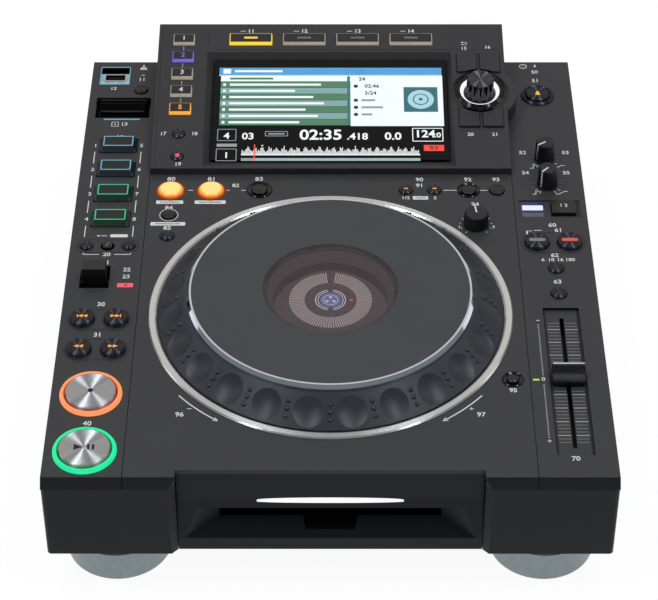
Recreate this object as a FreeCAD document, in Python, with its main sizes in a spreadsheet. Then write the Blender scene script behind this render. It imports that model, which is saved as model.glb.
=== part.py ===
import FreeCAD, Part
import os
import re

import Sketcher

# A free-standing slot-loading disc player for a performer's table. The origin is on the table
# under the middle of the case, X runs to the right, Y to the back and Z up, in millimetres.

os.makedirs("parts", exist_ok=True)
doc = FreeCAD.newDocument("disc_player")
dims = doc.addObject("Spreadsheet::Sheet", "dims")

SIZES = {
    "Whole player": {
        "player_width": 320, "player_depth": 405.9, "deck_height": 86.4, "case_floor": 29.7,
        "front_lip": 4.85, "lip_drop": 5, "rear_overhang": 9.7, "case_wall": 3, "panel_wall": 3,
        "strip_width": 45, "seam": 0.3, "shelf_reach": 3.5, "shelf_root": 1.7, "shelf_wall": 3, "case_corner": 2.5,
        "edge_break": 0.8,
    },
    "Nose and disc slot": {
        "nose_width": 172, "nose_fit": 0.2, "nose_chamfer": 3.5, "nose_depth": 26, "hood_set": 5.2,
        "hood_slope": 1.5, "hood_drop": 21.5, "lip_set": -1.2, "lip_height": 8.7, "slot_width": 125,
        "slot_height": 6, "slot_drop": 36.5, "slot_set": 9, "thumb_radius": 15, "bar_width": 82,
        "bar_height": 2.8, "bar_depth": 1.2, "nose_cheek": 2,
    },
    "Feet": {
        "foot_radius": 30.5, "foot_inset_x": 37.5, "foot_inset_y": 31, "foot_height": 22,
        "foot_neck_radius": 25, "pad_radius": 27, "pad_height": 1.4, "foot_edge": 1.2,
    },
    "Keys and boards": {
        "key_gap": 0.3, "key_flange": 1, "flange_wall": 1.2, "flange_gap": 0.3, "key_edge": 0.5,
        "board_drop": 7, "board_wall": 1.6, "switch_height": 3.2, "switch_radius": 2.2,
        "post_radius": 2.5,
    },
    "Left strip": {
        "strip_middle": 137, "cue_y": 65.9, "play_y": 20.1, "big_key_radius": 14.35,
        "big_key_rise": 3.5, "big_ring_radius": 18, "big_ring_rise": 2.4, "search_step": 10,
        "search_y": 103.9, "track_y": 130.4, "search_radius": 7.2, "search_rise": 3,
        "lever_x": 142.6, "lever_y": 169, "lever_width": 14.6, "lever_length": 9, "lever_rise": 10,
        "lever_well_width": 17.8, "lever_well_length": 20.4, "lever_pivot_drop": 5,
        "lever_pin_radius": 1.5, "bank_y": 198, "bank_step": 13, "bank_radius": 4, "bank_rise": 1.6,
        "first_pad_y": 224, "pad_pitch": 25, "pad_inset": 2.5, "pad_rise": 4,
        "pad_base_width": 24, "pad_base_length": 15,
        "card_y": 340, "card_width": 35.6, "card_length": 22, "card_slot_width": 26,
        "card_slot_gap": 3, "door_width": 30, "door_length": 13, "door_wall": 2.4,
        "door_pin_radius": 1, "usb_x": 144.6, "usb_y": 375.9, "usb_well": 20, "usb_well_depth": 6.5,
        "usb_width": 12.2, "usb_gap": 4.8, "stop_x": 126.3, "stop_y": 359.5, "stop_radius": 4.5,
        "stop_rise": 1.5, "socket_depth": 20,
    },
    "Right strip": {
        "eject_y": 353, "eject_radius": 7.75, "eject_rise": 2.5, "eject_ring_radius": 11,
        "eject_ring_rise": 1.6, "start_knob_y": 285, "brake_knob_y": 258.5, "knob_radius": 6.35,
        "knob_rise": 14, "knob_stem_radius": 2.7, "mode_y": 234.5, "mode_width": 38,
        "mode_length": 16.4, "mode_key_x": 145.6, "mode_key_width": 15, "mode_key_length": 12.4,
        "mode_key_rise": 2, "sync_y": 201.3, "sync_step": 10, "sync_radius": 7.65, "sync_rise": 2.6,
        "range_y": 177, "tempo_key_y": 153.6, "tempo_key_radius": 4.8, "tempo_key_rise": 1.8,
        "fader_y": 79, "fader_travel": 50, "fader_well_width": 21.5, "fader_well_length": 123.4,
        "fader_well_depth": 1.8, "fader_slot_width": 2.4, "fader_margin": 5, "fader_stem": 1.6,
        "fader_stem_length": 7, "fader_cap_width": 19, "fader_cap_length": 12, "fader_cap_rise": 9,
        "fader_body_width": 14, "fader_channel": 4,
    },
    "Deck keys": {
        "loop_y": 252, "loop_in_x": 101, "loop_out_x": 75.5, "loop_radius": 8.85, "loop_rise": 4.5,
        "reloop_x": 45, "reloop_y": 253, "reloop_radius": 5, "round_rise": 1.8,
        "half_beat_x": 101, "half_beat_y": 228.2, "half_beat_radius": 4.4, "slip_y": 207.5,
        "slip_radius": 4.45, "call_x": 47.5, "call_step": 18, "call_y": 252.6, "call_radius": 4.4,
        "delete_x": 87, "memory_x": 104.9, "delete_radius": 4.75, "adjust_x": 90.2,
        "adjust_y": 219, "adjust_radius": 7.5, "adjust_rise": 12, "reset_x": 105.1,
        "reset_y": 78.5, "reset_radius": 3.5,
    },
    "Jog wheel": {
        "jog_y": 137.7, "trim_radius": 108.5, "trim_bore": 103.2, "trim_rise": 1.4,
        "wheel_radius": 102.6, "wheel_lift": 0.4, "wheel_rim": 1.2, "slope_top_radius": 86,
        "slope_top": 15, "wheel_wall": 3, "hub_bore": 40.05, "bearing_bore": 34, "bearing_rise": 8,
        "bearing_base": 50, "bearing_base_wall": 2, "web_low": 3, "web_high": 7,
        "dimple_count": 24, "dimple_ring": 94.4, "dimple_height": 7.5, "dimple_radius": 8,
        "dimple_depth": 1.5, "chrome_radius": 85, "chrome_top_radius": 83.5, "chrome_bore": 80,
        "chrome_low": 15, "platter_top": 18.8, "platter_wall": 2, "window_radius": 40,
        "window_wall": 1.6, "window_ledge": 2, "display_radius": 27, "display_top": 9,
        "cable_radius": 12,
    },
    "Display housing": {
        "housing_y": 269.5, "housing_lip": 4.5, "housing_rise": 24.3, "rear_face": 7, "housing_wall": 2.6,
        "housing_side": 1.8, "screen_left": 81, "screen_right": 79, "screen_low": 1.6, "screen_high": 105.5,
        "screen_depth": 5,
        "glass_left": 77, "glass_right": 76, "glass_low": 10.4, "glass_high": 101.9,
        "glass_wall": 2, "slope_key_x": 98, "menu_s": 118, "menu_pitch": 35.6, "menu_width": 28.4,
        "menu_length": 10.1, "source_s": 52.8, "source_pitch": 16.2, "source_width": 14,
        "source_length": 9.5, "slope_key_rise": 1.2, "time_s": 30.6, "quantize_s": 10.6,
        "side_key_radius": 4.1, "selector_x": 97.4, "selector_s": 68.9, "collar_radius": 24.4,
        "dish_radius": 16.6, "dish_depth": 1, "lit_ring_radius": 13.5, "lit_ring_bore": 10.6,
        "selector_radius": 9.4, "selector_rise": 12, "selector_lift": 1.6, "selector_shaft": 3,
        "corner_step": 7.6, "corner_low": 45.3, "corner_high": 95.4, "corner_width": 13,
        "corner_length": 17.5, "corner_rise": 1.4, "corner_bite": 20, "slope_board_drop": 9.5, "lamp_x": 112,
    },
    "Disc drive": {
        "drive_set": 30, "drive_width": 150, "drive_length": 150, "drive_wall": 1.2,
        "drive_low": 36, "drive_high": 64, "spindle_set": 98, "spindle_motor_radius": 13,
        "turntable_radius": 15, "turntable_wall": 1.5, "turntable_gap": 0.3, "hub_radius": 7.2,
        "roller_set": 8, "roller_radius": 3.6, "roller_length": 118, "roller_shaft_radius": 1.5,
        "shaft_fit": 0.05, "sled_width": 46, "sled_length": 20, "sled_height": 4, "sled_travel": 30,
        "rod_radius": 1.5, "rod_step": 19, "rod_fit": 0.05, "standoff_radius": 4,
    },
    "Back and supply": {
        "rear_wall": 2, "socket_row": 56, "jack_radius": 4.15, "jack_reach": 8, "jack_base": 6,
        "jack_pitch": 16, "jack_x": 110, "coax_x": 60, "lan_x": 15, "lan_width": 11.8,
        "lan_height": 8, "lan_depth": 12, "port_case": 2, "usb_b_x": -20, "usb_b_width": 8.4,
        "usb_b_height": 7.8, "inlet_x": -110, "inlet_width": 22, "inlet_height": 17,
        "inlet_depth": 14, "inlet_flange": 3, "pin_wall": 2, "pin_reach": 10, "rocker_x": -68,
        "rocker_width": 14, "rocker_height": 20, "rocker_rise": 2.2, "supply_x": -105,
        "supply_width": 86, "supply_length": 96, "supply_height": 26, "supply_back": 30,
        "main_board_width": 150, "main_board_length": 160, "main_board_x": 45,
        "main_board_drop": 8, "screw_x": 92, "screw_front_y": 150, "screw_rear_y": 330, "screw_radius": 1.5, "screw_head_radius": 2.9, "screw_head": 1.8,
    },
}

row = 0
for section, sizes in SIZES.items():
    row += 1
    dims.set(f"A{row}", section)
    for size_name, size in sizes.items():
        row += 1
        dims.set(f"A{row}", size_name)
        dims.set(f"B{row}", str(size))
        dims.setAlias(f"B{row}", size_name)
doc.recompute()

# Words in an expression are sizes from the sheet, unless they are functions such as cos(.
WORD = re.compile(r"(?<![\w.])[a-z][a-z_0-9]*(?![\w(])")


def expression(text):
    return WORD.sub(lambda found: "dims." + found.group(), str(text))


def value(text):
    return float(dims.evalExpression(expression(text)))


def bind(thing, settings):
    for name, text in settings.items():
        thing.setExpression(name, expression(text))


# Places that many pieces share.
LEFT = "-player_width / 2"
RIGHT = "player_width / 2"
FRONT = "-player_depth / 2"
REAR = "(player_depth / 2 - rear_overhang)"
STRIP = "(player_width / 2 - strip_width)"
UNDER = "(deck_height - panel_wall)"
CASE_INSIDE = "(case_floor + case_wall)"
TILT = "asin((housing_rise - housing_lip) / housing_slope)"
FLANGE_TOP = "-(panel_wall + flange_gap)"
FLANGE_LOW = "-(panel_wall + flange_gap + flange_wall)"
BOARD_TOP = "-(panel_wall + board_drop)"
BOARD_LOW = "-(panel_wall + board_drop + board_wall)"
BODY_DEPTH = f"({REAR} - {FRONT})"


def back(distance):
    """The place of a line this far behind the deck's front edge."""
    return f"(front_lip - player_depth / 2 + ({distance}))"


HOUSING_RUN = f"(player_depth / 2 - {back('housing_y')})"
TILT = f"atan((housing_rise - housing_lip) / {HOUSING_RUN})"


# Where a block or bar starts from its own axis, by name. Placing it adds to that.
own_places = {}


def own_place(thing):
    return own_places.get(thing.Name, ("0", "0", "0"))


def settle(thing, x, y, z):
    bind(thing, {"Placement.Base.x": x, "Placement.Base.y": y, "Placement.Base.z": z})
    return thing


def place(thing, x="0", y="0", z="0"):
    own_x, own_y, own_z = own_place(thing)
    return settle(thing, f"({own_x}) + ({x})", f"({own_y}) + ({y})", f"({own_z}) + ({z})")


def on_deck(thing, x, distance, z="0"):
    """Stands a piece on the deck's top face."""
    return place(thing, x, back(distance), f"deck_height + {z}")


def on_slope(thing, x, climb, z="0"):
    """Stands a piece on the display housing's sloping top, this far up the slope."""
    own_x, own_y, own_z = own_place(thing)
    climb, z = f"(({own_y}) + ({climb}))", f"(({own_z}) + ({z}))"
    thing.Placement.Rotation = FreeCAD.Rotation(FreeCAD.Vector(1, 0, 0), 1)
    bind(thing, {"Placement.Rotation.Angle": f"{TILT} * 1"})
    y = f"{back('housing_y')} + {climb} * cos({TILT}) - {z} * sin({TILT})"
    height = f"deck_height + housing_lip + {climb} * sin({TILT}) + {z} * cos({TILT})"
    return settle(thing, f"({own_x}) + ({x})", y, height)


def box(name, x, y, z):
    """A block between two places along each axis, each pair given as (low, high)."""
    made = doc.addObject("Part::Box", name)
    for size, (low, high) in {"Length": x, "Width": y, "Height": z}.items():
        bind(made, {size: f"({high}) - ({low})"})
    own_places[made.Name] = (x[0], y[0], z[0])
    return place(made)


def middle_box(name, width, length, low, high):
    """A block about its own upright axis."""
    return box(name, (f"-({width}) / 2", f"({width}) / 2"), (f"-({length}) / 2", f"({length}) / 2"),
               (low, high))


def rod(name, radius, low, high, axis="Z"):
    """A round bar along an axis, from low to high on it."""
    made = doc.addObject("Part::Cylinder", name)
    bind(made, {"Radius": radius, "Height": f"({high}) - ({low})"})
    own_places[made.Name] = tuple(low if name == axis else "0" for name in "XYZ")
    if axis == "X":
        made.Placement.Rotation = FreeCAD.Rotation(FreeCAD.Vector(0, 1, 0), 90)
    if axis == "Y":
        made.Placement.Rotation = FreeCAD.Rotation(FreeCAD.Vector(1, 0, 0), -90)
    return place(made)


def moved(thing, x="0", y="0", z="0"):
    """Shifts a block or bar from its own axis."""
    own_places[thing.Name] = tuple(f"({old}) + ({shift})" for old, shift in zip(own_place(thing), (x, y, z)))
    return place(thing)


def join(name, pieces):
    made = doc.addObject("Part::MultiFuse", name)
    made.Shapes = pieces
    made.Refine = True
    return made


def gather(name, pieces):
    """Keeps separate solids together as one group."""
    made = doc.addObject("Part::Compound", name)
    made.Links = pieces
    return made


def cut(name, base, tools):
    made = doc.addObject("Part::Cut", name)
    made.Base = base
    made.Tool = tools[0] if len(tools) == 1 else join(name + "_cutter", tools)
    made.Refine = True
    return made


def outline(body, plane, points, offset="0"):
    """A closed outline of straight lines, each corner tied to the sheet."""
    sketch = body.newObject("Sketcher::SketchObject", body.Name + "_outline")
    origin = next(part for part in body.Origin.OriginFeatures if part.Role == plane)
    sketch.AttachmentSupport = [(origin, "")]
    sketch.MapMode = "FlatFace"
    bind(sketch, {"AttachmentOffset.Base.z": offset})
    corners = [FreeCAD.Vector(value(u), value(v), 0) for u, v in points]
    count = len(corners)
    for i, corner in enumerate(corners):
        sketch.addGeometry(Part.LineSegment(corner, corners[(i + 1) % count]), False)
    for i, corner in enumerate(corners):
        sketch.addConstraint(Sketcher.Constraint("Coincident", i, 2, (i + 1) % count, 1))
        for kind, size, text in (("DistanceX", corner.x, points[i][0]), ("DistanceY", corner.y, points[i][1])):
            number = sketch.addConstraint(Sketcher.Constraint(kind, -1, 1, i, 1, size))
            bind(sketch, {f"Constraints[{number}]": text})
    return sketch


def turned(name, points):
    """A piece turned about its own upright axis, from an outline of (radius, height) corners."""
    body = doc.addObject("PartDesign::Body", name)
    sketch = outline(body, "XZ_Plane", points)
    lathe = body.newObject("PartDesign::Revolution", name + "_lathe")
    lathe.Profile = sketch
    lathe.ReferenceAxis = (sketch, ["V_Axis"])
    lathe.Angle = 360
    return body


def extruded(name, plane, points, length, offset="0", both_ways=False):
    """A straight bar of one outline."""
    body = doc.addObject("PartDesign::Body", name)
    sketch = outline(body, plane, points, offset)
    pad = body.newObject("PartDesign::Pad", name + "_pad")
    pad.Profile = sketch
    pad.Midplane = both_ways
    bind(pad, {"Length": length})
    return body


def soften(body, radius, wanted):
    """Rounds the edges of a body's last feature that a test picks out."""
    doc.recompute()
    feature = body.Tip
    names = [f"Edge{i}" for i, edge in enumerate(feature.Shape.Edges, 1) if wanted(edge)]
    fillet = body.newObject("PartDesign::Fillet", body.Name + "_soft")
    fillet.Base = (feature, names)
    bind(fillet, {"Radius": radius})
    return body


def is_upright(edge):
    ends = [vertex.Point for vertex in edge.Vertexes]
    return len(ends) == 2 and abs(ends[0].x - ends[1].x) + abs(ends[0].y - ends[1].y) < 1e-6


def lies_at(height):
    return lambda edge: all(abs(vertex.Point.z - value(height)) < 1e-6 for vertex in edge.Vertexes)


def block(name, width, length, low, high, corner=None, edge=None):
    """A rectangular block about its own axis, with rounded upright and top edges."""
    half_x, half_y = f"({width}) / 2", f"({length}) / 2"
    corners = [(f"-{half_x}", f"-{half_y}"), (half_x, f"-{half_y}"), (half_x, half_y), (f"-{half_x}", half_y)]
    body = extruded(name, "XY_Plane", corners, f"({high}) - ({low})", low)
    if corner:
        soften(body, corner, is_upright)
    if edge:
        soften(body, edge, lies_at(high))
    return body


def tapered(name, width, length, low, high, inset):
    """A block whose four sides lean in towards its top."""
    made = doc.addObject("Part::Wedge", name)
    half_x, half_y = f"({width}) / 2", f"({length}) / 2"
    bind(made, {
        "Xmin": f"-{half_x}", "Xmax": half_x, "Zmin": f"-{half_y}", "Zmax": half_y, "Ymin": "0",
        "Ymax": f"({high}) - ({low})", "X2min": f"{inset} - {half_x}", "X2max": f"{half_x} - ({inset})",
        "Z2min": f"{inset} - {half_y}", "Z2max": f"{half_y} - ({inset})",
    })
    made.Placement.Rotation = FreeCAD.Rotation(FreeCAD.Vector(1, 0, 0), 90)
    own_places[made.Name] = ("0", "0", low)
    return place(made)


nodes = []


def node(label, made):
    """Names a finished piece."""
    made.Label = label
    nodes.append(made)
    return made


class Holes:
    """What is cut through each cover, gathered as the pieces that need it are made."""

    deck, left, right, housing = [], [], [], []


# Keys. Each has a cap in a hole of the cover, and a flange that keeps it in from below.

def round_key(name, radius, rise, dish="0"):
    wide = f"{radius} + key_flange"
    top = f"{rise}"
    return turned(name, [
        ("0", FLANGE_LOW), (wide, FLANGE_LOW), (wide, FLANGE_TOP), (radius, FLANGE_TOP),
        (radius, f"{top} - key_edge"), (f"{radius} - key_edge", top), ("0", f"{top} - ({dish})"),
    ])


def round_hole(name, radius):
    return rod(name, f"{radius} + key_gap", "-2 * panel_wall", "panel_wall")


def square_key(name, width, length, rise):
    cap = block(name + "_cap", width, length, FLANGE_TOP, rise, "key_edge * 1.6", "key_edge")
    flange = middle_box(name + "_flange", f"{width} + 2 * key_flange", f"{length} + 2 * key_flange",
                        FLANGE_LOW, FLANGE_TOP)
    return join(name, [cap, flange])


def pad_key(name):
    """A lit pad: straight in its hole, with sides that lean in above the deck."""
    foot = middle_box(name + "_foot", "pad_base_width", "pad_base_length", FLANGE_TOP, "0")
    crown = tapered(name + "_crown", "pad_base_width", "pad_base_length", "0", "pad_rise", "pad_inset")
    flange = middle_box(name + "_flange", "pad_base_width + 2 * key_flange", "pad_base_length + 2 * key_flange",
                        FLANGE_LOW, FLANGE_TOP)
    return join(name, [crown, foot, flange])


def square_hole(name, width, length):
    return middle_box(name, f"{width} + 2 * key_gap", f"{length} + 2 * key_gap", "-2 * panel_wall",
                      "panel_wall")


def switch(name):
    """The small dome switch below a key."""
    return rod(name, "switch_radius", BOARD_TOP, f"{BOARD_TOP} + switch_height")


left_switches, right_switches, deck_switches, slope_switches = [], [], [], []
SLOPE_SWITCH_SHIFT = "panel_wall + board_drop - slope_board_drop"


def keyed(name, x, distance, radius, rise, holes, switches, dish="0"):
    """A round key on the deck, with its hole and its switch."""
    holes.append(on_deck(round_hole(name + "_hole", radius), x, distance))
    switches.append(on_deck(switch(name + "_switch"), x, distance))
    return on_deck(round_key(name, radius, rise, dish), x, distance)


def sloped(name, x, climb, width, length, rise):
    """A square key on the display housing, with its hole and its switch."""
    Holes.housing.append(on_slope(square_hole(name + "_hole", width, length), x, climb))
    slope_switches.append(on_slope(switch(name + "_switch"), x, climb, SLOPE_SWITCH_SHIFT))
    return on_slope(square_key(name, width, length, rise), x, climb)


# Left strip: play and cue, the searches, the lever, bank keys, numbered pads and media sockets.
LEFT_MIDDLE = "-strip_middle"
for label, distance in (("cue_button", "cue_y"), ("play_button", "play_y")):
    node(label, keyed(label + "_key", LEFT_MIDDLE, distance, "big_key_radius", "big_key_rise",
                      Holes.left, left_switches))

search_keys = []
for line, distance in (("search", "search_y"), ("track", "track_y")):
    for side, sign in (("back", "-"), ("on", "+")):
        search_keys.append(keyed(f"{line}_{side}", f"{LEFT_MIDDLE} {sign} search_step", distance,
                                 "search_radius", "search_rise", Holes.left, left_switches))
node("search_buttons", gather("search_group", search_keys))

bank_keys = []
for number, shift in enumerate(("-bank_step", "0", "bank_step")):
    bank_keys.append(keyed(f"bank_{number}", f"{LEFT_MIDDLE} + {shift}", "bank_y", "bank_radius",
                           "bank_rise", Holes.left, left_switches))
node("bank_buttons", gather("bank_group", bank_keys))

for number in range(4):
    distance = f"first_pad_y + {3 - number} * pad_pitch"
    name = f"pad_{number + 1}"
    Holes.left.append(on_deck(square_hole(name + "_hole", "pad_base_width", "pad_base_length"), LEFT_MIDDLE,
                              distance))
    left_switches.append(on_deck(switch(name + "_switch"), LEFT_MIDDLE, distance))
    node(f"hot_cue_pad_{number + 1}", on_deck(pad_key(name), LEFT_MIDDLE, distance))

stop_key = keyed("usb_stop", "-stop_x", "stop_y", "stop_radius", "stop_rise", Holes.left, left_switches)
node("usb_stop_button", stop_key)

# The direction lever rocks on a pin that runs across its well.
lever_arm = block("lever_arm", "lever_width", "lever_length", "-lever_pivot_drop - lever_pin_radius",
                  "lever_rise", "key_edge", "key_edge")
lever_pin = rod("lever_pin", "lever_pin_radius", "-lever_well_width / 2 - 1", "lever_well_width / 2 + 1", "X")
moved(lever_pin, z="-lever_pivot_drop")
node("direction_lever", on_deck(join("lever", [lever_arm, lever_pin]), "-lever_x", "lever_y"))
lever_hole = middle_box("lever_hole", "lever_well_width", "lever_well_length", "-2 * panel_wall", "panel_wall")
Holes.left.append(on_deck(lever_hole, "-lever_x", "lever_y"))
lever_ears = middle_box("lever_ears", "lever_well_width + 4", "6", BOARD_TOP, "-panel_wall")
lever_gap = middle_box("lever_gap", "lever_well_width - 1", "8", f"{BOARD_TOP} - 1", "0")
lever_bore = rod("lever_bore", "lever_pin_radius + shaft_fit", "-lever_well_width", "lever_well_width", "X")
moved(lever_bore, z="-lever_pivot_drop")
lever_bracket = on_deck(cut("lever_bracket", lever_ears, [lever_gap, lever_bore]), "-lever_x", "lever_y")

# Right strip: eject, the two speed knobs, jog mode, sync and tempo keys.
RIGHT_MIDDLE = "strip_middle"
node("eject_button", keyed("eject", RIGHT_MIDDLE, "eject_y", "eject_radius", "eject_rise", Holes.right,
                           right_switches))
sync_keys = [keyed(f"sync_{side}", f"{RIGHT_MIDDLE} {sign} sync_step", "sync_y", "sync_radius",
                   "sync_rise", Holes.right, right_switches) for side, sign in (("left", "-"), ("right", "+"))]
node("sync_buttons", gather("sync_group", sync_keys))
tempo_keys = [keyed(f"tempo_{name}", RIGHT_MIDDLE, distance, "tempo_key_radius", "tempo_key_rise",
                    Holes.right, right_switches)
              for name, distance in (("range", "range_y"), ("lock", "tempo_key_y"))]
node("tempo_buttons", gather("tempo_group", tempo_keys))
Holes.right.append(on_deck(square_hole("mode_hole", "mode_key_width", "mode_key_length"), "mode_key_x",
                           "mode_y"))
right_switches.append(on_deck(switch("mode_switch"), "mode_key_x", "mode_y"))
node("jog_mode_button", on_deck(square_key("mode", "mode_key_width", "mode_key_length", "mode_key_rise"),
                                "mode_key_x", "mode_y"))


def knob(name, radius, rise):
    """A turned knob on a stem that reaches into its control below the cover."""
    stem_end = "-(panel_wall + 2.5)"
    return turned(name, [
        ("0", stem_end), ("knob_stem_radius", stem_end), ("knob_stem_radius", "key_gap * 2"),
        (radius, "key_gap * 2"), (f"{radius} - key_edge", f"{rise} - 2 * key_edge"),
        (f"{radius} - 2.4 * key_edge", rise), ("0", rise),
    ])


def control(name):
    """The rotary control that a knob's stem turns, between the cover and the board."""
    shell = rod(name + "_shell", "knob_stem_radius * 2", BOARD_TOP, "-panel_wall")
    bore = rod(name + "_bore", "knob_stem_radius + key_gap", "-(panel_wall + 2.5 + key_gap)", "0")
    return cut(name, shell, [bore])


knobs = (
    ("start_speed_knob", RIGHT_MIDDLE, "start_knob_y", "knob_radius", "knob_rise", Holes.right),
    ("brake_speed_knob", RIGHT_MIDDLE, "brake_knob_y", "knob_radius", "knob_rise", Holes.right),
    ("jog_adjust_knob", "adjust_x", "adjust_y", "adjust_radius", "adjust_rise", Holes.deck),
)
controls = []
for label, x, distance, radius, rise, holes in knobs:
    node(label, on_deck(knob(label + "_turned", radius, rise), x, distance))
    holes.append(on_deck(round_hole(label + "_hole", "knob_stem_radius"), x, distance))
    controls.append(on_deck(control(label + "_control"), x, distance))

# The tempo slider's cap rides in a long slot, in a shallow well.
cap = block("fader_cap", "fader_cap_width", "fader_cap_length", "key_gap", "fader_cap_rise", "key_edge * 2",
            "key_edge * 2")
stem = middle_box("fader_stem_bar", "fader_stem", "fader_stem_length", "-(panel_wall + board_drop - 2)",
                  "key_gap + 1")
node("tempo_slider_cap", on_deck(join("slider_cap", [cap, stem]), RIGHT_MIDDLE, "fader_y"))
FADER_SLOT = "2 * fader_travel + fader_stem_length + 2"
Holes.right.append(on_deck(middle_box("fader_well", "fader_well_width", "fader_well_length",
                                      "-fader_well_depth", "panel_wall"), RIGHT_MIDDLE, "fader_y"))
Holes.right.append(on_deck(middle_box("fader_slot", "fader_slot_width", FADER_SLOT, "-2 * panel_wall",
                                      "panel_wall"), RIGHT_MIDDLE, "fader_y"))
fader_case = middle_box("fader_case", "fader_body_width", f"{FADER_SLOT} + 2 * fader_margin", BOARD_TOP,
                        "-panel_wall")
fader_channel_cut = middle_box("fader_channel_cut", "fader_channel", FADER_SLOT,
                               "-(panel_wall + board_drop - 1.5)", "0")
fader = on_deck(cut("fader", fader_case, [fader_channel_cut]), RIGHT_MIDDLE, "fader_y")

# Keys on the middle of the deck.
for label, x in (("loop_in_button", "-loop_in_x"), ("loop_out_button", "-loop_out_x")):
    node(label, keyed(label + "_key", x, "loop_y", "loop_radius", "loop_rise", Holes.deck, deck_switches))
node("reloop_button", keyed("reloop", "-reloop_x", "reloop_y", "reloop_radius", "round_rise", Holes.deck,
                            deck_switches))
slip_keys = [
    keyed("half_beat", "-half_beat_x", "half_beat_y", "half_beat_radius", "round_rise", Holes.deck,
          deck_switches),
    keyed("slip", "-half_beat_x", "slip_y", "slip_radius", "round_rise", Holes.deck, deck_switches),
]
node("beat_and_slip_buttons", gather("slip_group", slip_keys))
call_keys = [keyed(f"call_{side}", f"call_x + {shift}", "call_y", "call_radius", "round_rise", Holes.deck,
                   deck_switches) for side, shift in (("back", "0"), ("on", "call_step"))]
node("call_buttons", gather("call_group", call_keys))
memory_keys = [keyed(name, x, "call_y", "delete_radius", "round_rise", Holes.deck, deck_switches)
               for name, x in (("delete", "delete_x"), ("memory", "memory_x"))]
node("memory_buttons", gather("memory_group", memory_keys))
node("tempo_reset_button", keyed("tempo_reset", "reset_x", "reset_y", "reset_radius", "round_rise",
                                 Holes.deck, deck_switches))

# The jog wheel turns on a ring bearing that stands on the deck, round a small fixed display.
trim = turned("trim", [
    ("trim_bore", "0"), ("trim_radius", "0"), ("trim_radius", "trim_rise - edge_break"),
    ("trim_radius - edge_break", "trim_rise"), ("trim_bore + 1.2", "trim_rise"), ("trim_bore", "trim_rise / 2"),
])
node("jog_trim_ring", on_deck(trim, "0", "jog_y"))
bearing = turned("bearing", [
    ("bearing_bore", "0"), ("bearing_base", "0"), ("bearing_base", "bearing_base_wall"),
    ("hub_bore - shaft_fit", "bearing_base_wall"), ("hub_bore - shaft_fit", "bearing_rise"),
    ("bearing_bore", "bearing_rise"),
])
node("jog_bearing", on_deck(bearing, "0", "jog_y"))

wheel = turned("wheel", [
    ("hub_bore", "web_low"), ("chrome_bore - wheel_wall", "web_low"), ("wheel_radius - 4 * wheel_wall", "wheel_lift"),
    ("wheel_radius", "wheel_lift"), ("wheel_radius", "wheel_lift + wheel_rim"),
    ("slope_top_radius", "slope_top"), ("chrome_bore - wheel_wall", "slope_top"),
    ("chrome_bore - wheel_wall", "web_high"), ("hub_bore", "web_high"),
])
SLOPE = "atan((slope_top - wheel_lift - wheel_rim) / (wheel_radius - slope_top_radius))"
DIMPLE_BALL = "((dimple_radius ^ 2 + dimple_depth ^ 2) / (2 * dimple_depth))"
dimples = []
for number in range(int(value("dimple_count"))):
    ball = doc.addObject("Part::Sphere", f"dimple_{number + 1}")
    bind(ball, {"Radius": DIMPLE_BALL})
    away = f"(dimple_ring + ({DIMPLE_BALL} - dimple_depth) * sin({SLOPE}))"
    turn = f"(({number} + 0.5) * 360 / dimple_count)"
    place(ball, f"{away} * cos({turn})", f"{away} * sin({turn})",
          f"dimple_height + ({DIMPLE_BALL} - dimple_depth) * cos({SLOPE})")
    dimples.append(ball)
dimpled = doc.addObject("Part::Cut", "dimpled_wheel")
dimpled.Base = wheel
dimpled.Tool = gather("dimple_balls", dimples)
node("jog_wheel", on_deck(dimpled, "0", "jog_y"))

chrome = turned("chrome", [
    ("chrome_bore", "chrome_low"), ("chrome_radius", "chrome_low"), ("chrome_radius", "chrome_low + 1.6"),
    ("chrome_top_radius", "platter_top"), ("chrome_top_radius - 1.2", "platter_top"),
    ("chrome_top_radius - 1.2", "platter_top - platter_wall"), ("chrome_bore", "platter_top - platter_wall"),
])
node("jog_chrome_ring", on_deck(chrome, "0", "jog_y"))
PLATTER_LOW = "platter_top - platter_wall"
platter = turned("platter", [
    ("window_radius - window_ledge", PLATTER_LOW), ("chrome_top_radius - 1.2", PLATTER_LOW),
    ("chrome_top_radius - 1.2", "platter_top"), ("window_radius", "platter_top"),
    ("window_radius", "platter_top - window_wall"), ("window_radius - window_ledge", "platter_top - window_wall"),
])
node("jog_platter", on_deck(platter, "0", "jog_y"))
window = turned("window", [
    ("0", "platter_top - window_wall"), ("window_radius", "platter_top - window_wall"),
    ("window_radius", "platter_top"), ("0", "platter_top"),
])
node("jog_window", on_deck(window, "0", "jog_y"))
display = turned("display", [
    ("0", "0"), ("bearing_bore", "0"), ("bearing_bore", "1.5"), ("display_radius", "1.5"),
    ("display_radius", "display_top"), ("0", "display_top"),
])
node("jog_display", on_deck(display, "0", "jog_y"))

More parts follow.
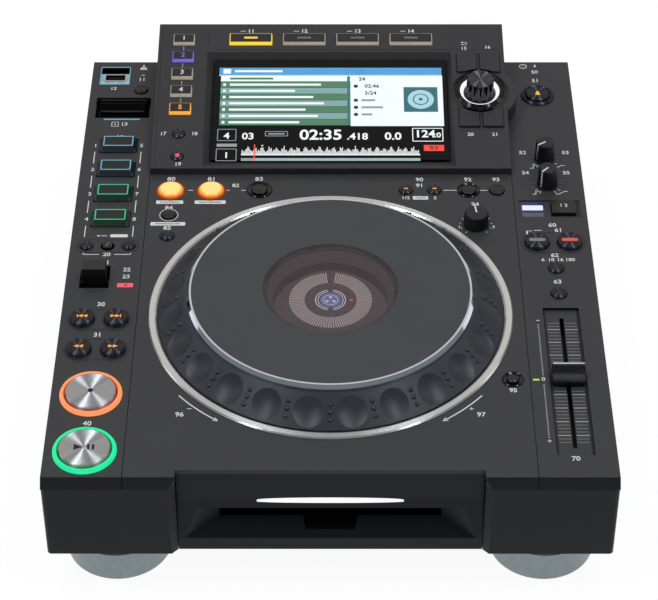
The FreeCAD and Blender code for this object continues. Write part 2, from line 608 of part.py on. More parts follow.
# Display housing: a wedge with a tray for the screen, and a round collar about the selector.
wedge_outer = extruded("wedge_outer", "YZ_Plane", [
    (back("housing_y"), UNDER), (back("housing_y"), "deck_height + housing_lip"),
    ("player_depth / 2", "deck_height + housing_rise"), ("player_depth / 2", "deck_height + housing_rise - rear_face"),
    (REAR, f"{UNDER} + panel_wall"), (REAR, UNDER),
], f"2 * {STRIP} - seam", both_ways=True)
collar = on_slope(rod("collar", "collar_radius", "-40", "0"), "selector_x", "selector_s")
below_deck = box("below_deck", (STRIP + " - seam", RIGHT), (back("housing_y"), REAR), ("case_floor", "deck_height"))
collar_top = cut("collar_top", collar, [below_deck])
under_collar = box("under_collar", ("0", RIGHT), (back("housing_y"), REAR), ("case_floor - 20", UNDER))
collar_clear = cut("collar_clear", collar_top, [under_collar])
wedge = join("wedge", [wedge_outer, collar_clear])
NORMAL_WALL = f"housing_wall / cos({TILT})"
wedge_inner = extruded("wedge_inner", "YZ_Plane", [
    (f"{back('housing_y')} + housing_wall", f"{UNDER} - 1"),
    (f"{back('housing_y')} + housing_wall", f"deck_height + housing_lip - {NORMAL_WALL} + housing_wall * tan({TILT})"),
    ("player_depth / 2 - housing_wall", f"deck_height + housing_rise - {NORMAL_WALL} - housing_wall * tan({TILT})"),
    ("player_depth / 2 - housing_wall", "deck_height + housing_rise - rear_face"),
    (f"{REAR} - housing_wall", f"{UNDER} + panel_wall"), (f"{REAR} - housing_wall", f"{UNDER} - 1"),
], f"2 * {STRIP} - 2 * housing_side - seam", both_ways=True)


def level_loop(left, right, near, far, height):
    """A closed level rectangle, between two places along X and two along Y."""
    spots = ((left, near), (right, near), (right, far), (left, far), (left, near))
    return Part.makePolygon([FreeCAD.Vector(value(x), value(y), value(height)) for x, y in spots])


screen_well = doc.addObject("Part::Feature", "screen_well")
screen_well.Shape = Part.makeLoft([
    level_loop("-screen_left - 1", "screen_right + 1", "screen_low - 0.4", "screen_high + 1", "0.4"),
    level_loop("-glass_left", "glass_right", "glass_low", "glass_high", "-screen_depth"),
], True, True)
on_slope(screen_well, "0", "0")
tray_floor = on_slope(box("tray_floor", ("-screen_left - housing_wall", "screen_right + housing_wall"),
                          ("housing_wall / 2", "screen_high + housing_wall"),
                          ("-screen_depth - housing_wall", "-housing_wall / 2")), "0", "0")
dish = on_slope(rod("selector_dish", "dish_radius", "-dish_depth", "panel_wall"), "selector_x", "selector_s")
Holes.housing.append(on_slope(round_hole("selector_hole", "selector_shaft"), "selector_x", "selector_s"))

menu_keys = [sloped(f"menu_{number}", f"menu_pitch * ({number} - 1.5)", "menu_s", "menu_width",
                    "menu_length", "slope_key_rise") for number in range(4)]
node("menu_buttons", gather("menu_group", menu_keys))
source_keys = [sloped(f"source_{number}", "-slope_key_x", f"source_s + source_pitch * {number}",
                      "source_width", "source_length", "slope_key_rise") for number in range(5)]
node("source_buttons", gather("source_group", source_keys))
display_keys = []
for name, climb in (("time_mode", "time_s"), ("quantize", "quantize_s")):
    Holes.housing.append(on_slope(round_hole(name + "_hole", "side_key_radius"), "-slope_key_x", climb))
    slope_switches.append(on_slope(switch(name + "_switch"), "-slope_key_x", climb, SLOPE_SWITCH_SHIFT))
    display_keys.append(on_slope(round_key(name, "side_key_radius", "slope_key_rise"), "-slope_key_x", climb))
node("display_side_buttons", gather("display_key_group", display_keys))
corner_keys = []
for height, climb in (("low", "corner_low"), ("high", "corner_high")):
    for side, sign in (("left", "-"), ("right", "+")):
        name = f"corner_{height}_{side}"
        key = sloped(name, f"selector_x {sign} corner_step", climb, "corner_width", "corner_length",
                     "corner_rise")
        bite = on_slope(rod(name + "_bite", "corner_bite", "-20", "10"), "selector_x",
                        "selector_s")
        corner_keys.append(cut(name + "_curved", key, [bite]))
node("corner_buttons", gather("corner_group", corner_keys))

hollow = cut("hollow_wedge", wedge, [wedge_inner])
floored = join("floored_wedge", [hollow, tray_floor])
slope_posts = []
for side, x in (("left", "-slope_key_x + 11"), ("right", "slope_key_x + 9")):
    for end, climb in (("low", "8"), ("high", "menu_s - 8")):
        slope_posts.append(on_slope(rod(f"slope_post_{side}_{end}", "post_radius", "-slope_board_drop",
                                        "-housing_wall / 2"), x, climb))
posted = join("posted_wedge", [floored] + slope_posts)
node("display_housing", cut("housing", posted, [screen_well, dish] + Holes.housing))
glass = block("glass", "glass_left + glass_right", "glass_high - glass_low", "-screen_depth",
              "glass_wall - screen_depth", "edge_break")
node("display_panel", on_slope(glass, "(glass_right - glass_left) / 2", "(glass_high + glass_low) / 2"))

# The selector knob turns on a shaft that can be pushed.
selector = turned("selector", [
    ("selector_shaft / 2 + shaft_fit", "selector_lift"), ("selector_radius", "selector_lift"),
    ("selector_radius", "selector_rise - 1"), ("selector_radius - 1", "selector_rise"),
    ("0", "selector_rise"), ("0", "selector_rise - 3"), ("selector_shaft / 2 + shaft_fit", "selector_rise - 3"),
])
node("selector_knob", on_slope(selector, "selector_x", "selector_s"))
shaft = turned("selector_pin", [
    ("0", "-slope_board_drop + 2.5"), ("selector_shaft", "-slope_board_drop + 2.5"),
    ("selector_shaft", "-dish_depth"), ("selector_shaft / 2", "-dish_depth"),
    ("selector_shaft / 2", "selector_rise - 3"), ("0", "selector_rise - 3"),
])
node("selector_shaft", on_slope(shaft, "selector_x", "selector_s"))

# Light guides: rings about play, cue, eject and the selector, and the bar above the disc slot.


def collar_ring(name, bore, radius, low, high):
    return turned(name, [
        (bore, low), (radius, low), (radius, f"{high} - edge_break / 2"),
        (f"{radius} - edge_break", high), (f"{bore} + edge_break / 2", high), (bore, f"{high} - edge_break / 2"),
    ])


BIG_BORE = "big_key_radius + key_gap"
BAR_Z = "(deck_height - hood_drop)"
BAR_Y = back("hood_set - hood_slope")
lights = [on_deck(collar_ring(f"ring_{name}", BIG_BORE, "big_ring_radius", "0", "big_ring_rise"),
                  LEFT_MIDDLE, distance) for name, distance in (("cue", "cue_y"), ("play", "play_y"))]
lights.append(on_deck(collar_ring("ring_eject", "eject_radius + key_gap", "eject_ring_radius", "0",
                                  "eject_ring_rise"), RIGHT_MIDDLE, "eject_y"))
lights.append(on_slope(collar_ring("ring_selector", "lit_ring_bore", "lit_ring_radius", "-dish_depth", "0.2"),
                       "selector_x", "selector_s"))
slot_bar = extruded("slot_bar", "XZ_Plane", [
    ("-bar_width / 2", BAR_Z), ("0", f"{BAR_Z} - bar_height * 0.3"), ("bar_width / 2", BAR_Z),
    ("bar_width / 2", f"{BAR_Z} + bar_height * 0.25"), ("0", f"{BAR_Z} + bar_height * 0.7"),
    ("-bar_width / 2", f"{BAR_Z} + bar_height * 0.25"),
], "bar_depth")
lights.append(place(slot_bar, y=f"{BAR_Y} + bar_depth / 2"))
node("light_guides", gather("light_group", lights))

# Boards: one below each strip, one below the deck's keys, one below the housing and the main board.


def hung_board(name, x, y, posts, switches, extras=()):
    """A board that hangs below a cover from short posts, with its switches on top."""
    sheet = box(name + "_sheet", x, (back(y[0]), back(y[1])), (f"deck_height + {BOARD_LOW}", f"deck_height + {BOARD_TOP}"))
    stands = [on_deck(rod(f"{name}_post_{i}", "post_radius", BOARD_TOP, "-panel_wall"), *spot)
              for i, spot in enumerate(posts)]
    return join(name, [sheet] + list(switches) + list(extras)), stands


strip_rows = ("88", "148.5", "211.5", "314")
left_posts = [(x, y) for x in ("-strip_middle + 17", "-strip_middle - 16.5") for y in strip_rows]
right_posts = [(x, y) for x in ("strip_middle - 17", "strip_middle + 16.5") for y in strip_rows]
board_inset = "2.5"
left_board, left_stands = hung_board(
    "left_board", (f"{LEFT} + case_wall + {board_inset}", f"-{STRIP} - {board_inset}"), ("3", "card_y - card_length / 2 - 4"),
    left_posts, [one for one in left_switches if "usb_stop" not in one.Name], [lever_bracket])
right_board, right_stands = hung_board(
    "right_board", (f"{STRIP} + {board_inset}", f"{RIGHT} - case_wall - {board_inset}"), ("3", "eject_y + 14"),
    right_posts, right_switches, controls[:2] + [fader])
reset_switch = [one for one in deck_switches if "tempo_reset" in one.Name]
row_switches = [one for one in deck_switches if one not in reset_switch]
deck_board, deck_stands = hung_board(
    "deck_board", (f"-{STRIP} + {board_inset}", f"{STRIP} - {board_inset}"), ("194", "housing_y - 4"),
    [("60", "204"), ("-60", "204"), ("20", "258"), ("-20", "258")], row_switches, controls[2:])
reset_board, reset_stands = hung_board(
    "reset_board", ("reset_x - 8", "reset_x + 6"), ("reset_y - 18", "reset_y + 12"), [("reset_x", "reset_y - 12")],
    reset_switch)
slope_sheet = on_slope(box("slope_sheet", (f"-{STRIP} + 6", f"{STRIP} - 6"), ("3", "menu_s + 6"),
                           ("-slope_board_drop - board_wall", "-slope_board_drop")), "0", "0")
encoder_shell = middle_box("encoder_shell", "14", "14", "-slope_board_drop", "-housing_wall - 1.5")
encoder_bore = rod("encoder_bore", "selector_shaft + key_gap", "-slope_board_drop + 1", "0")
encoder = on_slope(cut("encoder", encoder_shell, [encoder_bore]), "selector_x", "selector_s")
slope_board = join("slope_board", [slope_sheet, encoder] + slope_switches)
MAIN_LEFT = "main_board_x - main_board_width / 2"
MAIN_FRONT = f"{REAR} - rear_wall - 6 - main_board_length"
MAIN_TOP = f"{CASE_INSIDE} + main_board_drop + board_wall"
main_sheet = box("main_sheet", (MAIN_LEFT, f"{MAIN_LEFT} + main_board_width"),
                 (MAIN_FRONT, f"{MAIN_FRONT} + main_board_length"),
                 (f"{CASE_INSIDE} + main_board_drop", MAIN_TOP))
chips = []
for number, (x, y, width, rise) in enumerate((("30", "40", "28", "2.2"), ("75", "62", "20", "1.8"),
                                              ("112", "38", "16", "3"), ("62", "112", "24", "6"))):
    chips.append(box(f"chip_{number}", (f"{MAIN_LEFT} + {x}", f"{MAIN_LEFT} + {x} + {width}"),
                     (f"{MAIN_FRONT} + {y}", f"{MAIN_FRONT} + {y} + {width}"), (MAIN_TOP, f"{MAIN_TOP} + {rise}")))
main_board = join("main_board", [main_sheet] + chips)
node("circuit_boards", gather("board_group", [left_board, right_board, deck_board, reset_board, slope_board,
                                              main_board]))

# Covers: the middle of the deck and the two side strips.
chamfer_cut = extruded("chamfer_cut", "YZ_Plane", [
    (f"{FRONT} - 1", "deck_height - lip_drop"), (FRONT, "deck_height - lip_drop"), (f"{FRONT} + front_lip", "deck_height"),
    (f"{FRONT} + front_lip", "deck_height + 1"), (f"{FRONT} - 1", "deck_height + 1"),
], "player_width", both_ways=True)


def front_tab(name, side):
    """The deck cover's corner over a front block, beside the nose."""
    inner, slanted, outer = (f"{side} * ({size})" for size in
                             ("nose_width / 2", "nose_width / 2 + nose_chamfer", f"{STRIP} - seam / 2"))
    return extruded(name, "XY_Plane", [
        (inner, f"{FRONT} + nose_chamfer"), (slanted, FRONT), (outer, FRONT), (outer, back("hood_set + 1")),
        (inner, back("hood_set + 1")),
    ], "lip_drop", "deck_height - lip_drop")


front_tabs = [cut(f"front_corner_{side}", front_tab(f"front_tab_{side}", side), [chamfer_cut]) for side in (-1, 1)]
deck_plate = box("deck_plate", (f"-{STRIP} + seam / 2", f"{STRIP} - seam / 2"), (back("hood_set"), back("housing_y - seam")),
                 (UNDER, "deck_height"))
Holes.deck.append(on_deck(rod("jog_cable_hole", "cable_radius", "-2 * panel_wall", "panel_wall"), "0", "jog_y"))
node("deck_cover", cut("deck", join("deck_with_posts", [deck_plate] + front_tabs + deck_stands + reset_stands), Holes.deck))

LIP = f"{FRONT} + front_lip"


def side_cover(name, side, stands, holes):
    """A side strip of the deck, with a skirt round its outer edges and a shelf for the middle."""
    inner, outer = f"{side} * ({STRIP} + seam / 2)", f"{side} * {RIGHT}"
    skirt_low = "deck_height - lip_drop"
    across = [inner, outer] if side == 1 else [outer, inner]
    profile = [(FRONT, skirt_low), (LIP, "deck_height"), (REAR, "deck_height"), (REAR, skirt_low)]
    shell = extruded(name + "_shell", "YZ_Plane", profile, f"strip_width - seam / 2", across[0])
    if side == 1:
        hollow_x = (f"{inner} - 1", f"{outer} - case_wall")
    else:
        hollow_x = (f"{outer} + case_wall", f"{inner} + 1")
    hollow_under = box(name + "_hollow", hollow_x, (f"{LIP} + case_wall", f"{REAR} - rear_wall"), (f"{skirt_low} - 1", UNDER))
    shelf_x = [f"{side} * ({STRIP} - shelf_reach)", f"{side} * ({STRIP} + shelf_root)"]
    shelf_x = shelf_x if side == 1 else shelf_x[::-1]
    shelf = box(name + "_shelf", tuple(shelf_x), (back("nose_depth + seam"), f"{REAR} - rear_wall"),
                (f"{UNDER} - shelf_wall", UNDER))
    opened = cut(name + "_open", shell, [hollow_under])
    return cut(name, join(name + "_whole", [opened, shelf] + stands), holes)


# The card slot's well, its door's hinge gap and the stick socket's well go through the left strip.
CARD_PLACE = (LEFT_MIDDLE, "card_y")
card_well = middle_box("card_well", "card_width", "card_length", "-panel_wall / 2", "panel_wall")
card_mouth = middle_box("card_mouth", "card_slot_width", "card_slot_gap", "-2 * panel_wall", "panel_wall")
Holes.left.append(on_deck(card_well, *CARD_PLACE))
Holes.left.append(on_deck(card_mouth, *CARD_PLACE))
Holes.left.append(on_deck(middle_box("usb_well_hole", "usb_well", "usb_well", "-2 * panel_wall", "panel_wall"),
                          "-usb_x", "usb_y"))
node("left_panel", side_cover("left_cover", -1, left_stands, Holes.left))
Holes.right.append(on_deck(middle_box("mode_well", "mode_width", "mode_length", "-0.8", "panel_wall"),
                           RIGHT_MIDDLE, "mode_y"))
node("right_panel", side_cover("right_cover", 1, right_stands, Holes.right))

# The card slot's door lies over the slot and swings up on a pin at its rear edge.
DOOR_LOW = "0.2 - panel_wall / 2"
leaf = block("door_leaf", "door_width", "door_length", DOOR_LOW, f"{DOOR_LOW} + door_wall", "key_edge", "key_edge")
pin = rod("door_pin", "door_pin_radius", "-door_width / 2 - 1.5", "door_width / 2 + 1.5", "X")
moved(pin, y="door_length / 2", z=f"{DOOR_LOW} + door_wall / 2")
node("card_door", on_deck(join("door", [leaf, pin]), *CARD_PLACE))
ears = []
for side in (-1, 1):
    ear = box(f"door_ear_{side}", (f"{side} * (door_width / 2 + 1.6) - 1.2", f"{side} * (door_width / 2 + 1.6) + 1.2"),
              ("door_length / 2 - 1.8", "door_length / 2 + 1.8"), ("-panel_wall / 2", f"{DOOR_LOW} + door_wall"))
    ears.append(ear)
ear_bore = rod("ear_bore", "door_pin_radius + shaft_fit", "-door_width", "door_width", "X")
moved(ear_bore, y="door_length / 2", z=f"{DOOR_LOW} + door_wall / 2")
door_ears = on_deck(cut("door_ears", join("ear_pair", ears), [ear_bore]), *CARD_PLACE)
card_block = middle_box("card_block", "card_slot_width + 4", "card_slot_gap + 4", "-socket_depth", "-panel_wall")
card_slit = middle_box("card_slit", "card_slot_width", "card_slot_gap", "2 - socket_depth", "0")
card_socket = on_deck(cut("card_socket", card_block, [card_slit]), *CARD_PLACE)
usb_block = middle_box("usb_block", "usb_well + 4", "usb_well + 4", "-socket_depth", "-panel_wall")
usb_hollow = middle_box("usb_hollow", "usb_well", "usb_well", "-usb_well_depth", "0")
usb_mouth = middle_box("usb_mouth", "usb_width", "usb_gap", "2 - socket_depth", "0")
usb_tongue = middle_box("usb_tongue", "usb_width - 1.5", "1.9", "2 - socket_depth", "-usb_well_depth - 0.5")
usb_shell = cut("usb_shell", usb_block, [usb_hollow, usb_mouth])
moved(usb_tongue, y="usb_gap / 2 - 1.6")
usb_socket = on_deck(join("usb_socket", [usb_shell, usb_tongue]), "-usb_x", "usb_y")
stop_board = on_deck(middle_box("stop_board", "12", "16", BOARD_LOW, BOARD_TOP), "-stop_x", "stop_y")
stop_switch = next(one for one in left_switches if "usb_stop" in one.Name)
stop_wall = on_deck(middle_box("stop_wall", "8", "3", BOARD_LOW, "-panel_wall"), "-stop_x + 0.5", "stop_y - 8")
stop_base = join("stop_base", [stop_board, stop_switch, stop_wall])
node("media_sockets", gather("media_group", [card_socket, usb_socket, stop_base, door_ears]))

# Nose: a hood over a wide mouth that narrows to the disc slot, above a shallow front lip.
LIP_TOP = "case_floor + lip_height"
nose_bar = extruded("nose_bar", "YZ_Plane", [
    (back("hood_set"), UNDER), (back("hood_set - hood_slope"), BAR_Z), (back("lip_set"), LIP_TOP),
    (back("lip_set"), "case_floor"), (back("nose_depth"), "case_floor"), (back("nose_depth"), UNDER),
], "nose_width - 2 * nose_fit", both_ways=True)
SLOT_Z = "(deck_height - slot_drop)"


def rectangle_loop(width, y, low, high):
    """A closed wire across the mouth at one depth."""
    half, depth = value(f"({width}) / 2"), value(y)
    corners = [FreeCAD.Vector(-half, depth, value(low)), FreeCAD.Vector(half, depth, value(low)),
               FreeCAD.Vector(half, depth, value(high)), FreeCAD.Vector(-half, depth, value(high))]
    return Part.makePolygon(corners + corners[:1])


mouth = doc.addObject("Part::Feature", "mouth")
mouth.Shape = Part.makeLoft([
    rectangle_loop("nose_width - 2 * nose_cheek", back("lip_set - 1"), f"{LIP_TOP} - 0.4", f"{BAR_Z} - bar_height * 0.3"),
    rectangle_loop("slot_width", back("slot_set"), f"{SLOT_Z} - slot_height / 2", f"{SLOT_Z} + slot_height / 2"),
], True, True)
slot_cut = box("slot_cut", ("-slot_width / 2", "slot_width / 2"), (back("slot_set - 0.1"), back("nose_depth + 1")),
               (f"{SLOT_Z} - slot_height / 2", f"{SLOT_Z} + slot_height / 2"))
thumb_cut = place(rod("thumb_cut", "thumb_radius", f"{SLOT_Z} - 8", SLOT_Z), "0", back("slot_set"))
nose_back = box("nose_back", ("-nose_width / 2 + case_wall + nose_fit", "nose_width / 2 - case_wall - nose_fit"),
                (back("slot_set + 4"), back("nose_depth + 1")), (f"{SLOT_Z} + slot_height / 2 + 2", f"{UNDER} - case_wall"))
bar_seat = extruded("bar_seat", "XZ_Plane", [
    ("-bar_width / 2", BAR_Z), ("0", f"{BAR_Z} - bar_height * 0.3"), ("bar_width / 2", BAR_Z),
    ("bar_width / 2", f"{BAR_Z} + bar_height * 0.25"), ("0", f"{BAR_Z} + bar_height * 0.7"),
    ("-bar_width / 2", f"{BAR_Z} + bar_height * 0.25"),
], "bar_depth + 4")
place(bar_seat, y=f"{BAR_Y} + bar_depth / 2")
node("nose_fascia", cut("nose", nose_bar, [mouth, slot_cut, thumb_cut, nose_back, bar_seat]))

# Lower case: a tub that is open at the back, with a notch for the nose.
NOTCH = "nose_width / 2"
tub = extruded("tub", "XY_Plane", [
    (LEFT, REAR), (LEFT, FRONT), (f"-({NOTCH} + nose_chamfer)", FRONT), (f"-{NOTCH}", f"{FRONT} + nose_chamfer"),
    (f"-{NOTCH}", back("nose_depth")), (NOTCH, back("nose_depth")), (NOTCH, f"{FRONT} + nose_chamfer"),
    (f"{NOTCH} + nose_chamfer", FRONT), (RIGHT, FRONT), (RIGHT, REAR),
], "deck_height - lip_drop - case_floor", "case_floor")
soften(tub, "case_corner", lambda edge: is_upright(edge) and abs(edge.Vertexes[0].Point.y - value(FRONT)) < 0.01
       and abs(abs(edge.Vertexes[0].Point.x) - value(RIGHT)) < 0.01)
WALLED = f"{NOTCH} + case_wall"
tub_inside = extruded("tub_inside", "XY_Plane", [
    (f"{LEFT} + case_wall", f"{REAR} + 1"), (f"{LEFT} + case_wall", f"{FRONT} + case_wall"),
    (f"-({WALLED} + nose_chamfer / 2)", f"{FRONT} + case_wall"), (f"-({WALLED})", f"{FRONT} + case_wall + nose_chamfer"),
    (f"-({WALLED})", back("nose_depth + case_wall")), (WALLED, back("nose_depth + case_wall")),
    (WALLED, f"{FRONT} + case_wall + nose_chamfer"), (f"{WALLED} + nose_chamfer / 2", f"{FRONT} + case_wall"),
    (f"{RIGHT} - case_wall", f"{FRONT} + case_wall"), (f"{RIGHT} - case_wall", f"{REAR} + 1"),
], "deck_height", CASE_INSIDE)
notch_back = box("notch_back", (f"-{NOTCH} + 2", f"{NOTCH} - 2"), (back("nose_depth - 1"), back("nose_depth + case_wall + 1")),
                 (CASE_INSIDE, "deck_height"))
screw_spots = [(x, y) for x in ("-screw_x", "screw_x") for y in ("screw_front_y", "screw_rear_y")]
screw_holes = [place(rod(f"screw_hole_{i}", "screw_radius + 0.2", "case_floor - 1", f"{CASE_INSIDE} + 1"), x, back(y))
               for i, (x, y) in enumerate(screw_spots)]
case = cut("case", tub, [tub_inside, notch_back] + screw_holes)
case_posts = []
for x in (f"{MAIN_LEFT} + 8", f"{MAIN_LEFT} + main_board_width - 8"):
    for y in (f"{MAIN_FRONT} + 8", f"{MAIN_FRONT} + main_board_length - 8"):
        case_posts.append(place(rod(f"case_post_{len(case_posts)}", "standoff_radius", CASE_INSIDE,
                                    f"{CASE_INSIDE} + main_board_drop"), x, y))
node("lower_case", join("case_with_posts", [case] + case_posts))

feet, pads = [], []
for x in ("-(player_width / 2 - foot_inset_x)", "player_width / 2 - foot_inset_x"):
    for y in (back("foot_inset_y"), f"{REAR} - foot_inset_y - front_lip"):
        number = len(feet)
        top = "pad_height + foot_height"
        feet.append(place(turned(f"foot_{number}", [
            ("0", "pad_height"), ("foot_radius - foot_edge", "pad_height"), ("foot_radius", "pad_height + foot_edge"),
            ("foot_radius", f"{top} - foot_edge"), ("foot_radius - foot_edge", top), ("foot_neck_radius", top),
            ("foot_neck_radius", "case_floor"), ("0", "case_floor"),
        ]), x, y))
        pads.append(place(rod(f"pad_{number}", "pad_radius", "0", "pad_height"), x, y))
node("feet", gather("foot_group", feet))
node("foot_pads", gather("foot_pad_group", pads))

# Disc drive: a closed sheet-metal box behind the slot, on four standoffs.
DRIVE_FRONT = back("drive_set")
DRIVE_BACK = f"({DRIVE_FRONT} + drive_length)"
DRIVE_LEFT, DRIVE_RIGHT = "-drive_width / 2", "drive_width / 2"
drive_shell = box("drive_shell", (DRIVE_LEFT, DRIVE_RIGHT), (DRIVE_FRONT, DRIVE_BACK), ("drive_low", "drive_high"))
drive_room = box("drive_room", (f"{DRIVE_LEFT} + drive_wall", f"{DRIVE_RIGHT} - drive_wall"),
                 (f"{DRIVE_FRONT} + drive_wall", f"{DRIVE_BACK} - drive_wall"),
                 ("drive_low + drive_wall", "drive_high - drive_wall"))
drive_mouth = box("drive_mouth", ("-slot_width / 2", "slot_width / 2"), (f"{DRIVE_FRONT} - 1", f"{DRIVE_FRONT} + 2"),
                  (f"{SLOT_Z} - slot_height / 2", f"{SLOT_Z} + slot_height / 2"))
DISC_LOW = f"({SLOT_Z} - slot_height / 2)"
ROLLER_Y = f"({DRIVE_FRONT} + roller_set)"
ROLLER_Z = f"({DISC_LOW} - roller_radius)"
roller_bore = place(rod("roller_bore", "roller_shaft_radius + shaft_fit", f"{DRIVE_LEFT} - 1", f"{DRIVE_RIGHT} + 1", "X"),
                    "0", ROLLER_Y, ROLLER_Z)
SPINDLE_Y = f"({back('spindle_set')})"
TURNTABLE_LOW = f"({DISC_LOW} - turntable_wall)"
motor = place(rod("spindle_motor", "spindle_motor_radius", "drive_low + drive_wall", f"{TURNTABLE_LOW} - turntable_gap"),
              "0", SPINDLE_Y)
spindle_bore = place(rod("spindle_bore", "roller_shaft_radius + shaft_fit", "drive_low + drive_wall + 2", "drive_high"),
                     "0", SPINDLE_Y)
motor_bored = cut("motor_bored", motor, [spindle_bore])
SLED_Z = "(drive_low + drive_wall + 1 + sled_height / 2)"
SLED_Y = f"({SPINDLE_Y} + spindle_motor_radius + 2 + sled_length / 2)"
rods = [place(rod(f"guide_rod_{side}", "rod_radius", f"{SPINDLE_Y}", f"{DRIVE_BACK} - drive_wall / 2", "Y"),
              f"{side} * rod_step", "0", SLED_Z) for side in (-1, 1)]
rod_blocks = [box(f"rod_block_{side}", (f"{side} * rod_step - 3", f"{side} * rod_step + 3"),
                  (f"{SPINDLE_Y} - 3", f"{SPINDLE_Y} + 1"), ("drive_low + drive_wall / 2", f"{SLED_Z} + rod_radius + 1"))
              for side in (-1, 1)]
standoffs = [place(rod(f"standoff_{i}", "standoff_radius", CASE_INSIDE, "drive_low"), x, y)
             for i, (x, y) in enumerate((x, y) for x in (f"{DRIVE_LEFT} + 8", f"{DRIVE_RIGHT} - 8")
                                        for y in (f"{DRIVE_FRONT} + 8", f"{DRIVE_BACK} - 8"))]
drive_box = cut("drive_box", drive_shell, [drive_room, drive_mouth, roller_bore])
node("disc_drive", join("drive", [drive_box, motor_bored] + rods + rod_blocks + standoffs))

spindle = turned("spindle", [
    ("0", "-6"), ("roller_shaft_radius", "-6"), ("roller_shaft_radius", "0"), ("turntable_radius", "0"),
    ("turntable_radius", "turntable_wall"), ("hub_radius", "turntable_wall"), ("0", "turntable_wall"),
])
node("disc_spindle", place(spindle, "0", SPINDLE_Y, f"{TURNTABLE_LOW} - 0.3 + turntable_gap / 2"))
roller_drum = rod("roller_drum", "roller_radius - 0.2", "-roller_length / 2", "roller_length / 2", "X")
roller_shaft = rod("roller_shaft", "roller_shaft_radius", f"{DRIVE_LEFT}", f"{DRIVE_RIGHT}", "X")
node("feed_roller", place(join("roller", [roller_drum, roller_shaft]), "0", ROLLER_Y, ROLLER_Z))
sled_block = box("sled_block", ("-sled_width / 2", "sled_width / 2"), ("-sled_length / 2", "sled_length / 2"),
                 ("-sled_height / 2", "sled_height / 2"))
lens = rod("sled_lens", "3", "0", "sled_height / 2 + 0.6")
sled_bores = [place(rod(f"sled_bore_{side}", "rod_radius + rod_fit", "-sled_length", "sled_length", "Y"),
                    f"{side} * rod_step") for side in (-1, 1)]
sled = cut("sled", join("sled_whole", [sled_block, lens]), sled_bores)
node("pickup_sled", place(sled, "0", SLED_Y, SLED_Z))

# Rear wall with its sockets, the power inlet and the power rocker.
BACK_IN = f"{REAR} - rear_wall"
SOCKET_Z = "socket_row"
rear_plate = box("rear_plate", (f"{LEFT} + case_wall", f"{RIGHT} - case_wall"), (BACK_IN, REAR),
                 (CASE_INSIDE, "deck_height - lip_drop"))
rear_holes, sockets = [], []
for number, x in enumerate(("jack_x", "jack_x - jack_pitch", "coax_x")):
    rear_holes.append(place(rod(f"jack_hole_{number}", "jack_radius", f"{BACK_IN} - 1", f"{REAR} + 1", "Y"), x,
                            "0", SOCKET_Z))
    sleeve = place(rod(f"jack_sleeve_{number}", "jack_radius", f"{BACK_IN} - jack_base", f"{REAR} + jack_reach", "Y"),
                   x, "0", SOCKET_Z)
    base = box(f"jack_base_{number}", (f"{x} - 5.5", f"{x} + 5.5"), (f"{BACK_IN} - jack_base - 4", BACK_IN),
               (f"{SOCKET_Z} - 5.5", f"{SOCKET_Z} + 5.5"))
    bore = place(rod(f"jack_bore_{number}", "1.7", f"{REAR} - 1", f"{REAR} + jack_reach + 1", "Y"), x, "0", SOCKET_Z)
    sockets.append(cut(f"jack_{number}", join(f"jack_solid_{number}", [sleeve, base]), [bore]))


def port(name, x, width, height, depth):
    """A square socket behind the rear wall, open to the back, with its hole through the wall."""
    left, right = f"{x} - {width} / 2", f"{x} + {width} / 2"
    low, high = f"{SOCKET_Z} - {height} / 2", f"{SOCKET_Z} + {height} / 2"
    rear_holes.append(box(name + "_hole", (f"{left} - port_case", f"{right} + port_case"), (f"{BACK_IN} - 1", f"{REAR} + 1"),
                          (f"{low} - port_case", f"{high} + port_case")))
    body = box(name + "_body", (f"{left} - port_case", f"{right} + port_case"), (f"{BACK_IN} - {depth}", REAR),
               (f"{low} - port_case", f"{high} + port_case"))
    room = box(name + "_room", (left, right), (f"{BACK_IN} - {depth} + port_case", f"{REAR} + 1"), (low, high))
    return cut(name, body, [room])


sockets.append(port("lan_port", "lan_x", "lan_width", "lan_height", "lan_depth"))
usb_b_shell = port("usb_b_shell", "usb_b_x", "usb_b_width", "usb_b_height", "lan_depth")
usb_b_tongue = box("usb_b_tongue", ("usb_b_x - 2.8", "usb_b_x + 2.8"), (f"{BACK_IN} - lan_depth + port_case / 2", f"{REAR} - 2"),
                   (f"{SOCKET_Z} - 1.6", f"{SOCKET_Z} + 1.6"))
sockets.append(join("usb_b_port", [usb_b_shell, usb_b_tongue]))
inlet_shell = port("inlet_shell", "inlet_x", "inlet_width", "inlet_height", "inlet_depth + port_case")
pins = [box(f"inlet_pin_{i}", (f"inlet_x + {x} - pin_wall / 2", f"inlet_x + {x} + pin_wall / 2"),
            (f"{BACK_IN} - inlet_depth - port_case / 2", f"{REAR} - 3"),
            (f"{SOCKET_Z} + {z} - pin_wall", f"{SOCKET_Z} + {z} + pin_wall")) for i, (x, z) in
        enumerate((("(-7)", "(-2.5)"), ("7", "(-2.5)"), ("0", "1.5")))]
sockets.append(join("power_inlet", [inlet_shell] + pins))
rocker_frame = port("rocker_frame", "rocker_x", "rocker_width", "rocker_height", "10")
rocker_bore = place(rod("rocker_bore", "1 + shaft_fit", "rocker_x - rocker_width", "rocker_x + rocker_width", "X"),
                    "0", f"{BACK_IN} - 2", SOCKET_Z)
sockets.append(cut("rocker_socket", rocker_frame, [rocker_bore]))
node("rear_sockets", gather("socket_group", sockets))

